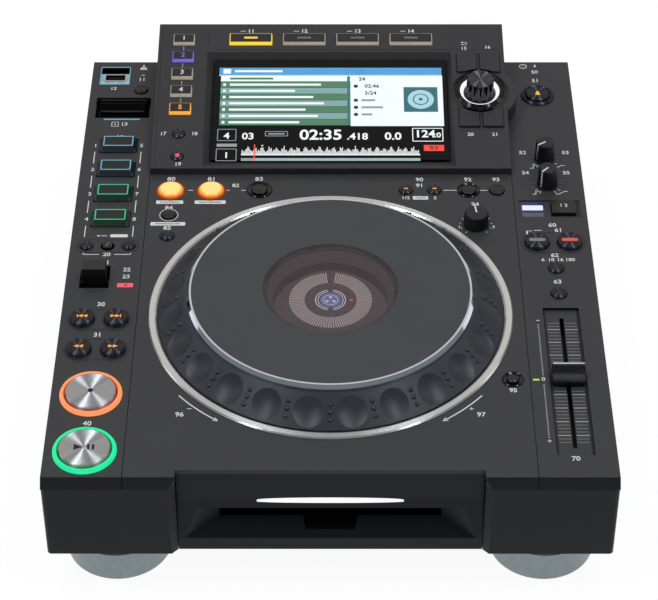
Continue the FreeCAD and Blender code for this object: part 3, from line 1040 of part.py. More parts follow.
rocker_body = extruded("rocker_body", "YZ_Plane", [
    ("-3.5", "-rocker_height / 2 + 1.5"), ("1", "-rocker_height / 2 + 0.5"), ("rocker_rise + 2.6", "-rocker_height / 2 + 1"),
    ("rocker_rise + 1", "0"), ("rocker_rise - 0.6", "rocker_height / 2 - 1"), ("-3.5", "rocker_height / 2 - 2.5"),
], "rocker_width - 2 * key_gap", both_ways=True)
rocker_pin = rod("rocker_pin", "1", "-rocker_width / 2 - 1", "rocker_width / 2 + 1", "X")
node("power_rocker", place(join("rocker", [rocker_body, rocker_pin]), "rocker_x", f"{BACK_IN} - 2", SOCKET_Z))
node("rear_panel", cut("rear_cover", rear_plate, rear_holes))

SUPPLY_LEFT = "supply_x - supply_width / 2"
SUPPLY_FRONT = f"({REAR} - rear_wall - supply_back - supply_length)"
supply_sheet = box("supply_sheet", (SUPPLY_LEFT, f"{SUPPLY_LEFT} + supply_width"),
                   (SUPPLY_FRONT, f"{SUPPLY_FRONT} + supply_length"), (f"{CASE_INSIDE} + 5", f"{CASE_INSIDE} + 5 + board_wall"))
SUPPLY_TOP = f"{CASE_INSIDE} + 5 + board_wall"
supply_parts = [
    box("transformer", (f"{SUPPLY_LEFT} + 30", f"{SUPPLY_LEFT} + 62"), (f"{SUPPLY_FRONT} + 30", f"{SUPPLY_FRONT} + 58"),
        (SUPPLY_TOP, f"{SUPPLY_TOP} + supply_height")),
    place(rod("bulk_capacitor", "9", SUPPLY_TOP, f"{SUPPLY_TOP} + supply_height"), f"{SUPPLY_LEFT} + 16",
          f"{SUPPLY_FRONT} + 70"),
    place(rod("small_capacitor", "6", SUPPLY_TOP, f"{SUPPLY_TOP} + 18"), f"{SUPPLY_LEFT} + 70", f"{SUPPLY_FRONT} + 16"),
    box("heat_sink", (f"{SUPPLY_LEFT} + 12", f"{SUPPLY_LEFT} + 52"), (f"{SUPPLY_FRONT} + 10", f"{SUPPLY_FRONT} + 16"),
        (SUPPLY_TOP, f"{SUPPLY_TOP} + 22")),
]
supply_legs = [place(rod(f"supply_leg_{i}", "3", CASE_INSIDE, f"{CASE_INSIDE} + 5"), x, y)
               for i, (x, y) in enumerate((x, y) for x in (f"{SUPPLY_LEFT} + 6", f"{SUPPLY_LEFT} + supply_width - 6")
                                          for y in (f"{SUPPLY_FRONT} + 6", f"{SUPPLY_FRONT} + supply_length - 6"))]
node("power_supply", join("supply", [supply_sheet] + supply_parts + supply_legs))

# Screws up through the case's floor.
screws = []
for number, (x, y) in enumerate(screw_spots):
    screws.append(place(turned(f"screw_{number}", [
        ("0", "-screw_head"), ("screw_head_radius - 0.6", "-screw_head"), ("screw_head_radius", "-screw_head + 0.6"),
        ("screw_head_radius", "0"), ("screw_radius", "0"), ("screw_radius", "case_wall + 4"), ("0", "case_wall + 4"),
    ]), x, back(y), "case_floor"))
node("case_screws", gather("screw_group", screws))

doc.recompute()
failed = [thing.Name for thing in doc.Objects if "Invalid" in thing.State or "Error" in thing.State]
assert not failed, f"these objects failed: {failed}"
assert len({made.Label for made in nodes}) == len(nodes) <= 60, "each node needs a name of its own"
for made in nodes:
    assert not made.Shape.isNull() and made.Shape.isValid(), f"{made.Label} is not a valid shape"
for made in nodes:
    made.Shape.exportStep(os.path.join("parts", made.Label + ".step"))
    print(made.Label, len(made.Shape.Solids), round(made.Shape.Volume))
print(len(nodes), "nodes")
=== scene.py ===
import math

import bmesh
import bpy
from mathutils import Matrix, Vector


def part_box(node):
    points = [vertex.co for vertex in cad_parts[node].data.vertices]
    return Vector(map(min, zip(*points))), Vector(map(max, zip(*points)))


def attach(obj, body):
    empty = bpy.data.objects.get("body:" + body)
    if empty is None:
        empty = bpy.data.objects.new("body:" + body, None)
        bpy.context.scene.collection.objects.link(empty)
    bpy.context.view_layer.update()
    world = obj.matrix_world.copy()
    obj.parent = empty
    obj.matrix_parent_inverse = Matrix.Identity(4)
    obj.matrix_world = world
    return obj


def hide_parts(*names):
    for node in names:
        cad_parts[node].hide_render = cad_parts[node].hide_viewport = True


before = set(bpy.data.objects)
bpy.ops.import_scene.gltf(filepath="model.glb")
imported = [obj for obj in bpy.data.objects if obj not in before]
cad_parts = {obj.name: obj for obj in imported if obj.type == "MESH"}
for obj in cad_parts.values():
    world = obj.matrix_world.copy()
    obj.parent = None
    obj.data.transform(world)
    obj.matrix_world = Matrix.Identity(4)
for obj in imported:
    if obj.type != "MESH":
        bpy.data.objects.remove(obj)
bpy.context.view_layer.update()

# Sizes are millimetres and become metres where a piece is made. Places on the flat deck are given as
# (across, distance from the case front), and places on the tilted display housing as (across, climb).
MM = 0.001
LIP = 4.85
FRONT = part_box("lower_case")[0].y / MM + LIP
DECK_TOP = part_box("left_panel")[1].z / MM
HOUSING_FRONT = 71.4
HOUSING_RISE = 4.5
TILT = math.atan(19.8 / 131.55)
DECK = Matrix.Translation((0, FRONT, DECK_TOP))
SLOPE = Matrix.Translation((0, HOUSING_FRONT, DECK_TOP + HOUSING_RISE)) @ Matrix.Rotation(TILT, 4, "X")
JOG = (0, 137.7)
STRIP = 137
UNDER = -3

# A printed mark stands this far proud of its face, and its foot is sunk a little so that no gap shows.
INK, SUNK = 0.05, -0.01
BOLD = 0.022
EDGE_STEPS, CROWN_STEPS = 4, 4

# Points closer than this are one, in metres. Faces that meet at a larger angle than this keep a sharp edge.
SAME_POINT, SHARP = 2e-7, math.radians(32)


# Shapes

def circle(radius, height, steps=48, centre=(0, 0)):
    """A level ring of points, anticlockwise."""
    turns = [math.tau * k / steps for k in range(steps)]
    return [(centre[0] + radius * math.cos(a), centre[1] + radius * math.sin(a), height) for a in turns]


def rounded(width, length, corner, height, centre=(0, 0), steps=5):
    """A level rounded rectangle of points, anticlockwise."""
    spots = []
    for quarter, (sx, sy) in enumerate(((1, 1), (-1, 1), (-1, -1), (1, -1))):
        for k in range(steps + 1):
            a = math.pi / 2 * (quarter + k / steps)
            spots.append((centre[0] + sx * (width / 2 - corner) + corner * math.cos(a),
                          centre[1] + sy * (length / 2 - corner) + corner * math.sin(a), height))
    return spots


def level(outline, height):
    """A flat outline at one height."""
    return [(x, y, height) for x, y, *_ in outline]


def sector(inner, outer, start, end, centre=(0, 0), steps=24):
    """The outline of a piece of a flat ring between two angles in degrees."""
    turns = [math.radians(start + (end - start) * k / steps) for k in range(steps + 1)]
    there = [(centre[0] + outer * math.cos(a), centre[1] + outer * math.sin(a)) for a in turns]
    back = [(centre[0] + inner * math.cos(a), centre[1] + inner * math.sin(a)) for a in reversed(turns)]
    return there + back


def stroke(start, end, width):
    """The outline of a straight line with square ends."""
    along = (Vector(end) - Vector(start)).normalized()
    side = Vector((-along.y, along.x)) * width / 2
    return [tuple(Vector(p) + s) for p, s in ((start, -side), (end, -side), (end, side), (start, side))]


def triangle(x, y, size, turn=0):
    """A triangle that points along X, or turned by some degrees."""
    spots = []
    for px, py in ((size * 0.5, 0), (-size * 0.4, size * 0.42), (-size * 0.4, -size * 0.42)):
        a = math.radians(turn)
        spots.append((x + px * math.cos(a) - py * math.sin(a), y + px * math.sin(a) + py * math.cos(a)))
    return spots


def soft_edge(low, high, edge, crown=0.0, reach=0.0):
    """(inset, height) pairs up the side of a key, round its edge and over its crowned top."""
    turns = [math.pi / 2 * k / EDGE_STEPS for k in range(EDGE_STEPS + 1)]
    pairs = [(0, low)] + [(edge * (1 - math.cos(a)), high - edge + edge * math.sin(a)) for a in turns]
    if crown:
        for k in range(1, CROWN_STEPS + 1):
            share = k / CROWN_STEPS
            pairs.append((edge + (reach - edge) * share, high + crown * (1 - (1 - share) ** 2)))
    return pairs


class Shape:
    """The points and faces of one piece in millimetres, each face with its finish."""

    def __init__(self):
        self.points, self.faces, self.looks = [], [], []

    def face(self, corners, look):
        self.faces.append(list(corners))
        self.looks.append(look)

    def loft(self, rings, look, closed=False):
        """Joins rings of equally many points, and closes both ends or the last ring to the first."""
        count, start = len(rings[0]), len(self.points)
        self.points.extend(tuple(p) for ring in rings for p in ring)
        last = len(rings) - 1
        steps = [(i, i + 1) for i in range(last)] + ([(last, 0)] if closed else [])
        for low, high in steps:
            for k in range(count):
                n = (k + 1) % count
                self.face((start + low * count + k, start + low * count + n,
                           start + high * count + n, start + high * count + k), look)
        if not closed:
            self.face(reversed(range(start, start + count)), look)
            self.face(range(start + last * count, start + (last + 1) * count), look)
        return self

    def turned(self, profile, look, steps=48, centre=(0, 0), closed=False):
        """A lathed solid from (radius, height) pairs, from its foot to its top."""
        return self.loft([circle(r, z, steps, centre) for r, z in profile], look, closed)

    def slab(self, outline, look, low=SUNK, high=INK):
        """A thin flat solid, such as a printed mark."""
        return self.loft([level(outline, low), level(outline, high)], look)

    def band(self, outer, inner, look, low=SUNK, high=INK):
        """A flat solid between two outlines of equally many points."""
        return self.loft([level(outer, low), level(outer, high), level(inner, high), level(inner, low)],
                         look, closed=True)

    def digits(self, text, size, x, y, look, low=SUNK, high=INK):
        """Plain numbers, centred on a place."""
        curve = bpy.data.curves.new("digits", "FONT")
        curve.body, curve.size, curve.extrude = text, size, (high - low) / 2
        curve.offset = BOLD * size
        curve.align_x, curve.align_y = "CENTER", "CENTER"
        curve.resolution_u = 3
        lettering = bpy.data.objects.new("digits", curve)
        bpy.context.scene.collection.objects.link(lettering)
        bpy.context.view_layer.update()
        drawn = lettering.evaluated_get(bpy.context.evaluated_depsgraph_get())
        solid = bpy.data.meshes.new_from_object(drawn)
        bpy.data.objects.remove(lettering)
        bpy.data.curves.remove(curve)
        start = len(self.points)
        place = Vector((x, y, (low + high) / 2))
        self.points.extend(tuple(place + v.co) for v in solid.vertices)
        for polygon in solid.polygons:
            self.face([start + v for v in polygon.vertices], look)
        bpy.data.meshes.remove(solid)
        return self

    def piece(self, name, body, slot, face=DECK, at=(0, 0, 0), stands_for=()):
        """Makes the piece in metres, with its origin at its place on a face of the player."""
        mesh = bpy.data.meshes.new(name)
        mesh.from_pydata([(x * MM, y * MM, z * MM) for x, y, z in self.points], [], self.faces)
        names = list(dict.fromkeys(self.looks))
        for look in names:
            mesh.materials.append(look)
        mesh.polygons.foreach_set("material_index", [names.index(look) for look in self.looks])
        mesh.polygons.foreach_set("use_smooth", [True] * len(self.faces))
        work = bmesh.new()
        work.from_mesh(mesh)
        bmesh.ops.remove_doubles(work, verts=work.verts, dist=SAME_POINT)
        bmesh.ops.recalc_face_normals(work, faces=work.faces)
        work.to_mesh(mesh)
        work.free()
        mesh.set_sharp_from_angle(angle=SHARP)
        made = bpy.data.objects.new(name, mesh)
        bpy.context.scene.collection.objects.link(made)
        there = face @ Matrix.Translation(at)
        there.translation = there.translation * MM
        made.matrix_world = there
        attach(made, body)
        if stands_for:
            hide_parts(*stands_for)

    def control(self, name, node, at, slot="key_black", face=DECK):
        """A piece that stands for the node of a key or knob, on the body of the same name."""
        self.piece(name, node, slot, face, at, [node])

    def light(self, name, at=(0, 0, 0), face=DECK):
        """A fixed clear piece that stands for one of the light guides."""
        self.piece(name, "base", "light_clear", face, at, ["light_guides"])


# Finishes

# At this scale a wave texture repeats once a millimetre. Ink and turning marks are this thick. A quarter of a
# turn lays each highlight of a turned face along its radius.
WAVE_PER_MM, FILM, QUARTER_TURN = 0.314, 0.004, 0.25


def add(tree, kind, inputs=None, **settings):
    """Adds a shader node with its settings, and sets or links its inputs."""
    node = tree.nodes.new("ShaderNode" + kind)
    for name, value in settings.items():
        setattr(node, name, value)
    for name, value in (inputs or {}).items():
        if isinstance(value, bpy.types.NodeSocket):
            tree.links.new(value, node.inputs[name])
        else:
            node.inputs[name].default_value = value
    return node


def colour(code):
    """An sRGB hex code as linear red, green, blue and alpha."""
    parts = [int(code[k:k + 2], 16) / 255 for k in (1, 3, 5)]
    return [c / 12.92 if c <= 0.04045 else ((c + 0.055) / 1.055) ** 2.4 for c in parts] + [1.0]


def new_finish(name):
    """A material with an empty tree, and where the surface is in millimetres on its piece."""
    made = bpy.data.materials.new(name)
    made.use_nodes = True
    tree = made.node_tree
    tree.nodes.clear()
    spot = add(tree, "TexCoord")
    there = add(tree, "VectorMath", {0: spot.outputs["Object"], 1: (1 / MM,) * 3}, operation="MULTIPLY")
    return made, tree, there.outputs[0]


def finished(made, tree, inputs):
    """Ends a material's tree with one principled shader."""
    shader = add(tree, "BsdfPrincipled", inputs)
    add(tree, "OutputMaterial", {"Surface": shader.outputs[0]})
    return made


def patchy(tree, spot, low, high, size):
    """A colour that drifts between two codes over patches of a size in millimetres."""
    noise = add(tree, "TexNoise", {"Vector": spot, "Scale": 1 / size})
    return add(tree, "Mix", {"Factor": noise.outputs["Fac"], 6: colour(low), 7: colour(high)},
               data_type="RGBA").outputs[2]


def moulded(name, low, high, roughness, grain, depth, shine=0.35, edge=0.0, front=None):
    """Injection-moulded plastic: an even colour, and the grain that the spark-eroded mould leaves.

    A front colour, if given, is painted shade: it darkens the faces that look forward.
    """
    made, tree, spot = new_finish(name)
    tint = patchy(tree, spot, low, high, 30)
    # Painted shade: faces that look forward blend to the darker front colour.
    if front:
        facing = add(tree, "VectorMath", {0: add(tree, "NewGeometry").outputs["Normal"], 1: (0, -1, 0)},
                     operation="DOT_PRODUCT")
        front_shade_share = add(tree, "MapRange", {"Value": facing.outputs["Value"], 1: 0.35, 2: 0.55})
        tint = add(tree, "Mix", {"Factor": front_shade_share.outputs[0], 6: tint, 7: colour(front)},
                   data_type="RGBA").outputs[2]
    fine = add(tree, "TexNoise", {"Vector": spot, "Scale": 1 / grain, "Detail": 1.0})
    rough = add(tree, "MapRange", {"Value": fine.outputs["Fac"], 3: roughness - 0.06, 4: roughness + 0.06})
    relief = add(tree, "Bump", {"Height": fine.outputs["Fac"], "Distance": depth * MM, "Strength": 1.0})
    if edge:
        round_edge = add(tree, "Bevel", {"Radius": edge * MM}, samples=4)
        tree.links.new(round_edge.outputs[0], relief.inputs["Normal"])
    return finished(made, tree, {"Base Color": tint, "Roughness": rough.outputs[0],
                                 "Normal": relief.outputs[0], "Specular IOR Level": shine})


def spun(name, low, high, roughness, groove, stretch):
    """A face turned on a lathe: fine rings that stretch each highlight into a spoke."""
    made, tree, spot = new_finish(name)
    rings = add(tree, "TexWave", {"Vector": spot, "Scale": WAVE_PER_MM / groove, "Distortion": 0.6,
                                  "Detail": 2.0, "Detail Scale": 3.0}, wave_type="RINGS", rings_direction="Z")
    tint = add(tree, "Mix", {"Factor": rings.outputs["Fac"], 6: colour(low), 7: colour(high)},
               data_type="RGBA")
    relief = add(tree, "Bump", {"Height": rings.outputs["Fac"], "Distance": FILM * MM})
    way = add(tree, "Tangent", direction_type="RADIAL", axis="Z")
    return finished(made, tree, {"Base Color": tint.outputs[2], "Metallic": 1.0, "Roughness": roughness,
                                 "Anisotropic": stretch, "Anisotropic Rotation": QUARTER_TURN,
                                 "Tangent": way.outputs[0], "Normal": relief.outputs[0]})


def sheet_metal(name, low, high, roughness, grain, depth=0.01):
    """Plated or painted metal: a slightly mottled colour under a faint grain."""
    made, tree, spot = new_finish(name)
    tint = patchy(tree, spot, low, high, 6)
    fine = add(tree, "TexNoise", {"Vector": spot, "Scale": 1 / grain})
    rough = add(tree, "MapRange", {"Value": fine.outputs["Fac"], 3: roughness * 0.8, 4: roughness * 1.2})
    relief = add(tree, "Bump", {"Height": fine.outputs["Fac"], "Distance": depth * MM})
    return finished(made, tree, {"Base Color": tint, "Metallic": 1.0, "Roughness": rough.outputs[0],
                                 "Normal": relief.outputs[0]})


def lit(name, low, high, size=4.0, roughness=0.3, body="#101010", shine=0.5):
    """Clear plastic lit from behind: the light is a little uneven, as from a few small lamps. The unlit key
    frames and the jog display's shade use it as a painted glow.
    """
    made, tree, spot = new_finish(name)
    shade = patchy(tree, spot, low, high, size)
    return finished(made, tree, {"Base Color": colour(body), "Roughness": roughness, "Emission Color": shade,
                                 "Emission Strength": 1.0, "Specular IOR Level": shine})


def printed(name, low, high):
    """Screen-printed ink: a thin, slightly uneven matt film."""
    made, tree, spot = new_finish(name)
    tint = patchy(tree, spot, low, high, 1.5)
    film = add(tree, "TexNoise", {"Vector": spot, "Scale": 1 / 0.3})
    relief = add(tree, "Bump", {"Height": film.outputs["Fac"], "Distance": FILM * MM})
    return finished(made, tree, {"Base Color": tint, "Roughness": 0.6, "Normal": relief.outputs[0]})


def dome_light(name, middle, ring, rim, radius):
    """A lit dome: brightest over its lamp, deeper in colour towards its rim."""
    bright_to, ring_at = 0.66, 0.86
    made, tree, spot = new_finish(name)
    flat = add(tree, "VectorMath", {0: spot, 1: (1, 1, 0)}, operation="MULTIPLY")
    away = add(tree, "VectorMath", {0: flat.outputs[0]}, operation="LENGTH")
    share = add(tree, "MapRange", {"Value": away.outputs["Value"], 2: radius})
    shade = add(tree, "ValToRGB", {"Fac": share.outputs[0]})
    ramp = shade.color_ramp
    ramp.elements[0].position, ramp.elements[0].color = bright_to, colour(middle)
    ramp.elements[1].position, ramp.elements[1].color = 1.0, colour(rim)
    ramp.elements.new(ring_at).color = colour(ring)
    return finished(made, tree, {"Base Color": colour("#301000"), "Roughness": 0.25,
                                 "Emission Color": shade.outputs[0], "Emission Strength": 1.0})


def clear_glass(name, tint, cover):
    """A clear cover that lets what lies behind show through, with a glossy face."""
    made, tree, spot = new_finish(name)
    haze = add(tree, "TexNoise", {"Vector": spot, "Scale": 1 / 9})
    rough = add(tree, "MapRange", {"Value": haze.outputs["Fac"], 3: 0.06, 4: 0.1})
    return finished(made, tree, {"Base Color": colour(tint), "Roughness": rough.outputs[0], "Alpha": cover,
                                 "Specular IOR Level": 0.3})


# Moulded plastics and rubbers: satin black with a fine, even grain that softens each highlight.
case_plastic = moulded("satin_abs_case", "#07090e", "#0b0e14", 0.42, 0.5, 0.03, 0.2, edge=0.5)
# The deck's faces that look forward, such as its chamfer, take a painted shade from the front colour.
deck_plastic = moulded("fine_grain_abs_deck", "#333437", "#38393c", 0.48, 0.4, 0.04, 0.4, edge=0.3,
                       front="#07080c")
housing_plastic = moulded("fine_grain_abs_housing", "#2e2e31", "#333336", 0.48, 0.4, 0.04, 0.4, edge=0.4)
knob_plastic = moulded("knurled_knob_abs", "#09090c", "#0d0d11", 0.36, 0.6, 0.03, 0.4, edge=0.1)
key_plastic = moulded("satin_abs_keys", "#131314", "#171718", 0.35, 0.6, 0.015, 0.5, edge=0.15)
black_plastic = moulded("matt_black_abs_recesses", "#050505", "#080808", 0.6, 0.5, 0.02, 0.2)
rear_paint = moulded("powder_coated_steel_rear", "#1a1b1d", "#1f2022", 0.55, 0.9, 0.05, 0.4)
pad_rubber = moulded("pad_silicone_rubber", "#2a2a2b", "#303031", 0.7, 0.4, 0.02, 0.3)
foot_rubber = moulded("foot_rubber", "#141414", "#1b1b1b", 0.85, 0.7, 0.06, 0.3)
wheel_rubber = moulded("jog_wheel_elastomer", "#262930", "#2c2f38", 0.42, 0.7, 0.03, 0.6)
platter_paint = moulded("textured_jog_platter_paint", "#414245", "#47484b", 0.6, 0.5, 0.05, 0.35)
board = moulded("black_solder_mask_board", "#080a09", "#0e110f", 0.45, 1.2, 0.02, 0.3)
# Near-black plastic of the sockets and the card door, also used as painted shade in the card well.
black_and_painted_shade = moulded("black_abs_and_painted_recess_shade", "#020202", "#030303", 0.8, 0.5, 0.02, 0.05)
lip_plastic = moulded("satin_abs_lip", "#201f1d", "#282624", 0.5, 0.5, 0.02, 0.3)
gloss_plastic = moulded("glossy_black_abs", "#060607", "#08080a", 0.12, 3, 0.004, 0.45, edge=0.1)
corner_plastic = moulded("satin_abs_corner_keys", "#222228", "#28282e", 0.42, 0.5, 0.02, 0.5, edge=0.2)
knob_top = moulded("knurled_knob_tops", "#1b1b1e", "#2b2b2f", 0.5, 0.5, 0.15, 0.4)
screen_glass = moulded("display_glass", "#0c0d10", "#0f1013", 0.12, 20, 0.0, 0.12)

# Metals: turned faces carry a cross of light, the chrome mirrors the room, sheet and paint are softer.
glossy_key = spun("spun_glossy_black_keys", "#3c3c43", "#4e4e55", 0.38, 0.35, stretch=1.0)
key_metal = spun("spun_aluminium_keys", "#c0c4c9", "#d8dbdf", 0.42, 0.3, stretch=1.0)
ring_metal = spun("brushed_aluminium_trim", "#d2d6d9", "#e4e7ea", 0.26, 0.5, stretch=0.9)
chrome = sheet_metal("chrome_plated_ring", "#cdd4e4", "#dbe1ee", 0.07, 0.8, 0.001)
knob_cap = spun("spun_black_anodised_cap", "#50505a", "#64646f", 0.36, 0.3, stretch=1.0)
steel = sheet_metal("zinc_plated_sheet_steel", "#8f9296", "#a6a9ac", 0.35, 0.8)
nickel = sheet_metal("nickel_plated_sockets", "#a8a8a4", "#c2c2bd", 0.25, 0.6)
screw_metal = sheet_metal("black_zinc_screws", "#3a3a3c", "#4c4c4e", 0.35, 0.4)
foot_paint = sheet_metal("silver_painted_feet", "#788285", "#889396", 0.38, 0.5, 0.02)

# Inks: matt marks that stay readable from every side.
white_ink = printed("white_screen_print", "#d9dad8", "#e6e7e4")
grey_ink = printed("grey_screen_print", "#6c6c70", "#78787c")
dark_ink = printed("black_screen_print", "#050506", "#0a0a0b")
dark_red = printed("dark_red_screen_print", "#7a1820", "#8a2028")
pill_white = printed("white_label_print", "#e4e5e3", "#eeefec")
ring_ink = printed("pale_grey_ring_print", "#c4c5c6", "#d2d3d4")
beige_ink = printed("beige_screen_print", "#a59e90", "#b4ad9e")
scale_bright = printed("light_grey_scale_print", "#a2a2a6", "#b0b0b4")
grey_label = printed("grey_unlit_label", "#5c5c68", "#666674")

# Lit plastics: they glow evenly, a little deeper in places.
orange_lens = lit("orange_lit_acrylic", "#ff9355", "#ffa268")
red_lens = lit("deep_orange_lit_wall", "#a8301a", "#c04020")
green_lens = lit("green_lit_acrylic", "#0ee69a", "#18f5a6")
deep_green_lens = lit("deep_green_lit_wall", "#0a7a30", "#109040")
white_lens = lit("white_lit_acrylic", "#f4f2fb", "#ffffff")
cyan_lens = lit("cyan_lit_acrylic", "#5f9db6", "#74b1ca")
usb_lens = lit("pale_cyan_lit_acrylic", "#527f8f", "#a2c6d1")
pad_green_lens = lit("pad_green_lit_acrylic", "#1cba88", "#24cc96")
yellow_light = lit("yellow_lit_legend", "#ffd02c", "#ffdc50")
orange_light = lit("orange_lit_legend", "#ff9a3a", "#ffb45c")
red_light = lit("red_led", "#e8404a", "#ff5c66")
lime_light = lit("green_led", "#b0da40", "#c4ec58")
violet_light = lit("violet_lit_key", "#675ac0", "#7a6ed2")
source_orange = lit("orange_lit_key", "#f5a024", "#ffb440")
# The pale frames of the unlit keys glow evenly: painted light for the light that falls on them.
beige_frames_painted_glow = lit("unlit_key_frames_painted_glow", "#8f887c", "#a59e90")
mode_light = lit("pale_blue_lit_label", "#d8e4ff", "#f0f6ff")
loop_light = dome_light("amber_lit_domes", "#ffe28a", "#ff8a1c", "#6a1c00", 8.75)
dim_cyan_side = lit("dark_blue_lit_rubber_sides", "#0a1824", "#050b12", 6)
dim_green_side = lit("dark_green_lit_rubber_sides", "#032c10", "#021408", 6)
amber_spill = lit("amber_lit_collars", "#6a2006", "#481604", 3)
grey_pill = lit("grey_legend_windows", "#6a6878", "#7a788a")
red_pill = lit("red_lit_legend_windows", "#c84438", "#d85a4a")
red_pill_light = lit("coral_lit_label", "#e8505c", "#f46470")
violet_glow = lit("violet_lit_well_floor", "#1c1a40", "#2c2860")
jog_glass = lit("backlit_jog_display_glass", "#423a3d", "#4a4245", 14, body="#060506", shine=0.1)
# The shade round the jog display is no lamp: its even glow is painted light.
shade_cone_painted_glow = lit("jog_display_shade_painted_glow", "#322d2f", "#3a3436", 14, 0.7, "#030303", 0.0)

# Cells of the two displays: even, cool light without a highlight.
lcd_header = lit("display_blue_header", "#3f93d2", "#55a8e2", 12)
lcd_header_edge = lit("display_pale_header_edge", "#a8d8ea", "#bce6f2")
lcd_white = lit("display_white", "#eef8f6", "#f8ffff", 12)
lcd_dark_row = lit("display_dark_green_rows", "#44785a", "#4f8464", 12)
lcd_pale_row = lit("display_teal_rows", "#78a0a0", "#86aeae", 12)
lcd_row_line = lit("display_scroll_bar", "#2f6a70", "#3a7a80")
lcd_ink = lit("display_dark_digits", "#20262c", "#2a3238")
lcd_grey = lit("display_grey", "#8a9496", "#98a2a4")
lcd_tile = lit("display_teal_tile", "#296268", "#357278")
lcd_disc = lit("display_pale_disc", "#a0ccde", "#b2dcea")
lcd_wave = lit("display_waveform", "#e2eaec", "#f0f8fa")
lcd_bar = lit("display_progress_bar", "#94b0b0", "#a4c0c0")
lcd_red = lit("display_red", "#f43c2c", "#ff5040")
dial_segments = lit("dial_pale_segments", "#b0a0a4", "#bcacb0")
dial_dark = lit("dial_dark_ring", "#3a3034", "#443a3e")
dial_white = lit("dial_white", "#d8d4dc", "#e6e2ea")
dial_blue = lit("dial_blue_disc", "#5c6ca8", "#7080bc")

# The smoked window over the round display.
window = clear_glass("smoked_acrylic_window", "#645a5d", 0.3)

# The finish of each node that is shown as the CAD made it. Any other node has the finish of the keys.
NODE_LOOKS = (
    (case_plastic, "lower_case nose_fascia"), (deck_plastic, "deck_cover left_panel right_panel"),
    (housing_plastic, "display_housing"), (screen_glass, "display_panel"), (rear_paint, "rear_panel"),
    (nickel, "rear_sockets"), (black_and_painted_shade, "media_sockets card_door"), (board, "circuit_boards"),
    (steel, "power_supply disc_drive selector_shaft"), (foot_rubber, "feed_roller foot_pads"),
    (black_plastic, "disc_spindle pickup_sled jog_bearing"), (ring_metal, "jog_trim_ring"),
    (wheel_rubber, "jog_wheel"), (chrome, "jog_chrome_ring"), (platter_paint, "jog_platter"),
    (window, "jog_window"), (jog_glass, "jog_display"), (foot_paint, "feet"), (screw_metal, "case_screws"),
    (key_metal, "cue_button play_button"), (corner_plastic, "corner_buttons"), (orange_lens, "light_guides"),
)
node_look = {label: look for look, labels in NODE_LOOKS for label in labels.split()}
for label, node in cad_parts.items():
    node.data.materials.clear()
    node.data.materials.append(node_look.get(label, key_plastic))


# Keys

def round_key(radius, rise, edge, look, crown=0.0, steps=48):
    """A round key from inside its hole to its top."""
    rim = soft_edge(UNDER, rise - crown, edge, crown, radius * 0.9)
    return Shape().turned([(radius - inset, z) for inset, z in rim], look, steps)


def square_key(width, length, corner, rise, edge, look):
    """A square key with round corners."""
    rings = [rounded(width - 2 * inset, length - 2 * inset, max(corner - inset, 0.15), z)
             for inset, z in soft_edge(UNDER, rise, edge)]
    return Shape().loft(rings, look)


def lens_ring(outer, inner, rise, top, wall):
    """A clear ring round a key, lit from inside, with a deeper coloured wall next to the key."""
    crest = [(inner + 0.9, UNDER), (outer, UNDER), (outer, rise * 0.35), (outer - 0.5, rise * 0.8),
             (outer - 1.1, rise), (inner + 1.3, rise), (inner + 0.95, rise * 0.85)]
    inside = [(inner, UNDER), (inner + 0.9, UNDER), (inner + 0.95, rise * 0.8), (inner + 0.35, rise * 0.55)]
    return Shape().turned(crest, top, 72, closed=True).turned(inside, wall, 72, closed=True)


def joining_line(name, width, length, at):
    """The thin dark line round a group of keys."""
    thick = 0.45
    outer = rounded(width, length, length / 2 - 0.01, 0, steps=10)
    inner = rounded(width - 2 * thick, length - 2 * thick, length / 2 - thick - 0.01, 0, steps=10)
    Shape().band(outer, inner, dark_ink).piece(name, "base", "deck_grey", at=at)


def double_arrow(shape, x, size, look, top, way, stop):
    """Two triangles in a row on a key's top, and a bar where they stop at a track's end."""
    for step in (-0.45, 0.45):
        shape.slab(triangle(x + way * step * size, 0, size, 0 if way > 0 else 180), look, top, top + INK)
    if stop:
        bar = x + way * size * 1.05
        shape.slab(stroke((bar, -size * 0.42), (bar, size * 0.42), size * 0.2), look, top, top + INK)


# The cue and play keys keep their turned tops from the CAD model. Each has a lit ring round it.
CUE, PLAY = (-STRIP, 65.9, 0), (-STRIP, 20.1, 0)
BIG_KEY, BIG_TOP, BIG_RING, RING_GAP, RING_RISE = 14.35, 3.5, 18, 0.35, 2.4
for name, at, top, wall in (("cue", CUE, orange_lens, red_lens), ("play", PLAY, green_lens, deep_green_lens)):
    lens_ring(BIG_RING, BIG_KEY + RING_GAP, RING_RISE, top, wall).light(f"{name}_lit_ring", at)
mark = Shape().turned([(1.6, BIG_TOP), (1.6, BIG_TOP + INK)], dark_ink, 32)
mark.piece("cue_mark", "cue_button", "key_black", at=CUE)
mark = Shape()
for outline in (triangle(-3.6, 0, 5.6), stroke((2.3, -2), (2.3, 2), 1.4), stroke((5.0, -2), (5.0, 2), 1.4)):
    mark.slab(outline, dark_ink, BIG_TOP, BIG_TOP + INK)
mark.piece("play_mark", "play_button", "key_black", at=PLAY)

# Four search keys: glossy black, each with its lit arrows.
SEARCH_STEP, SEARCH_TOP, SEARCH_RADIUS, ARROW = 10, 3, 7.2, 3.1
for line, y, stop in (("search", 103.9, False), ("track", 130.4, True)):
    for side, way in (("back", -1), ("on", 1)):
        key = round_key(SEARCH_RADIUS, SEARCH_TOP, 0.9, glossy_key)
        double_arrow(key, -way * 0.5 * stop, ARROW, orange_light, SEARCH_TOP, way, stop)
        key.control(f"{line}_{side}_key", "search_buttons", (-STRIP + way * SEARCH_STEP, y, 0))
    joining_line(f"{line}_pair_line", 38, 18, (-STRIP, y, 0))

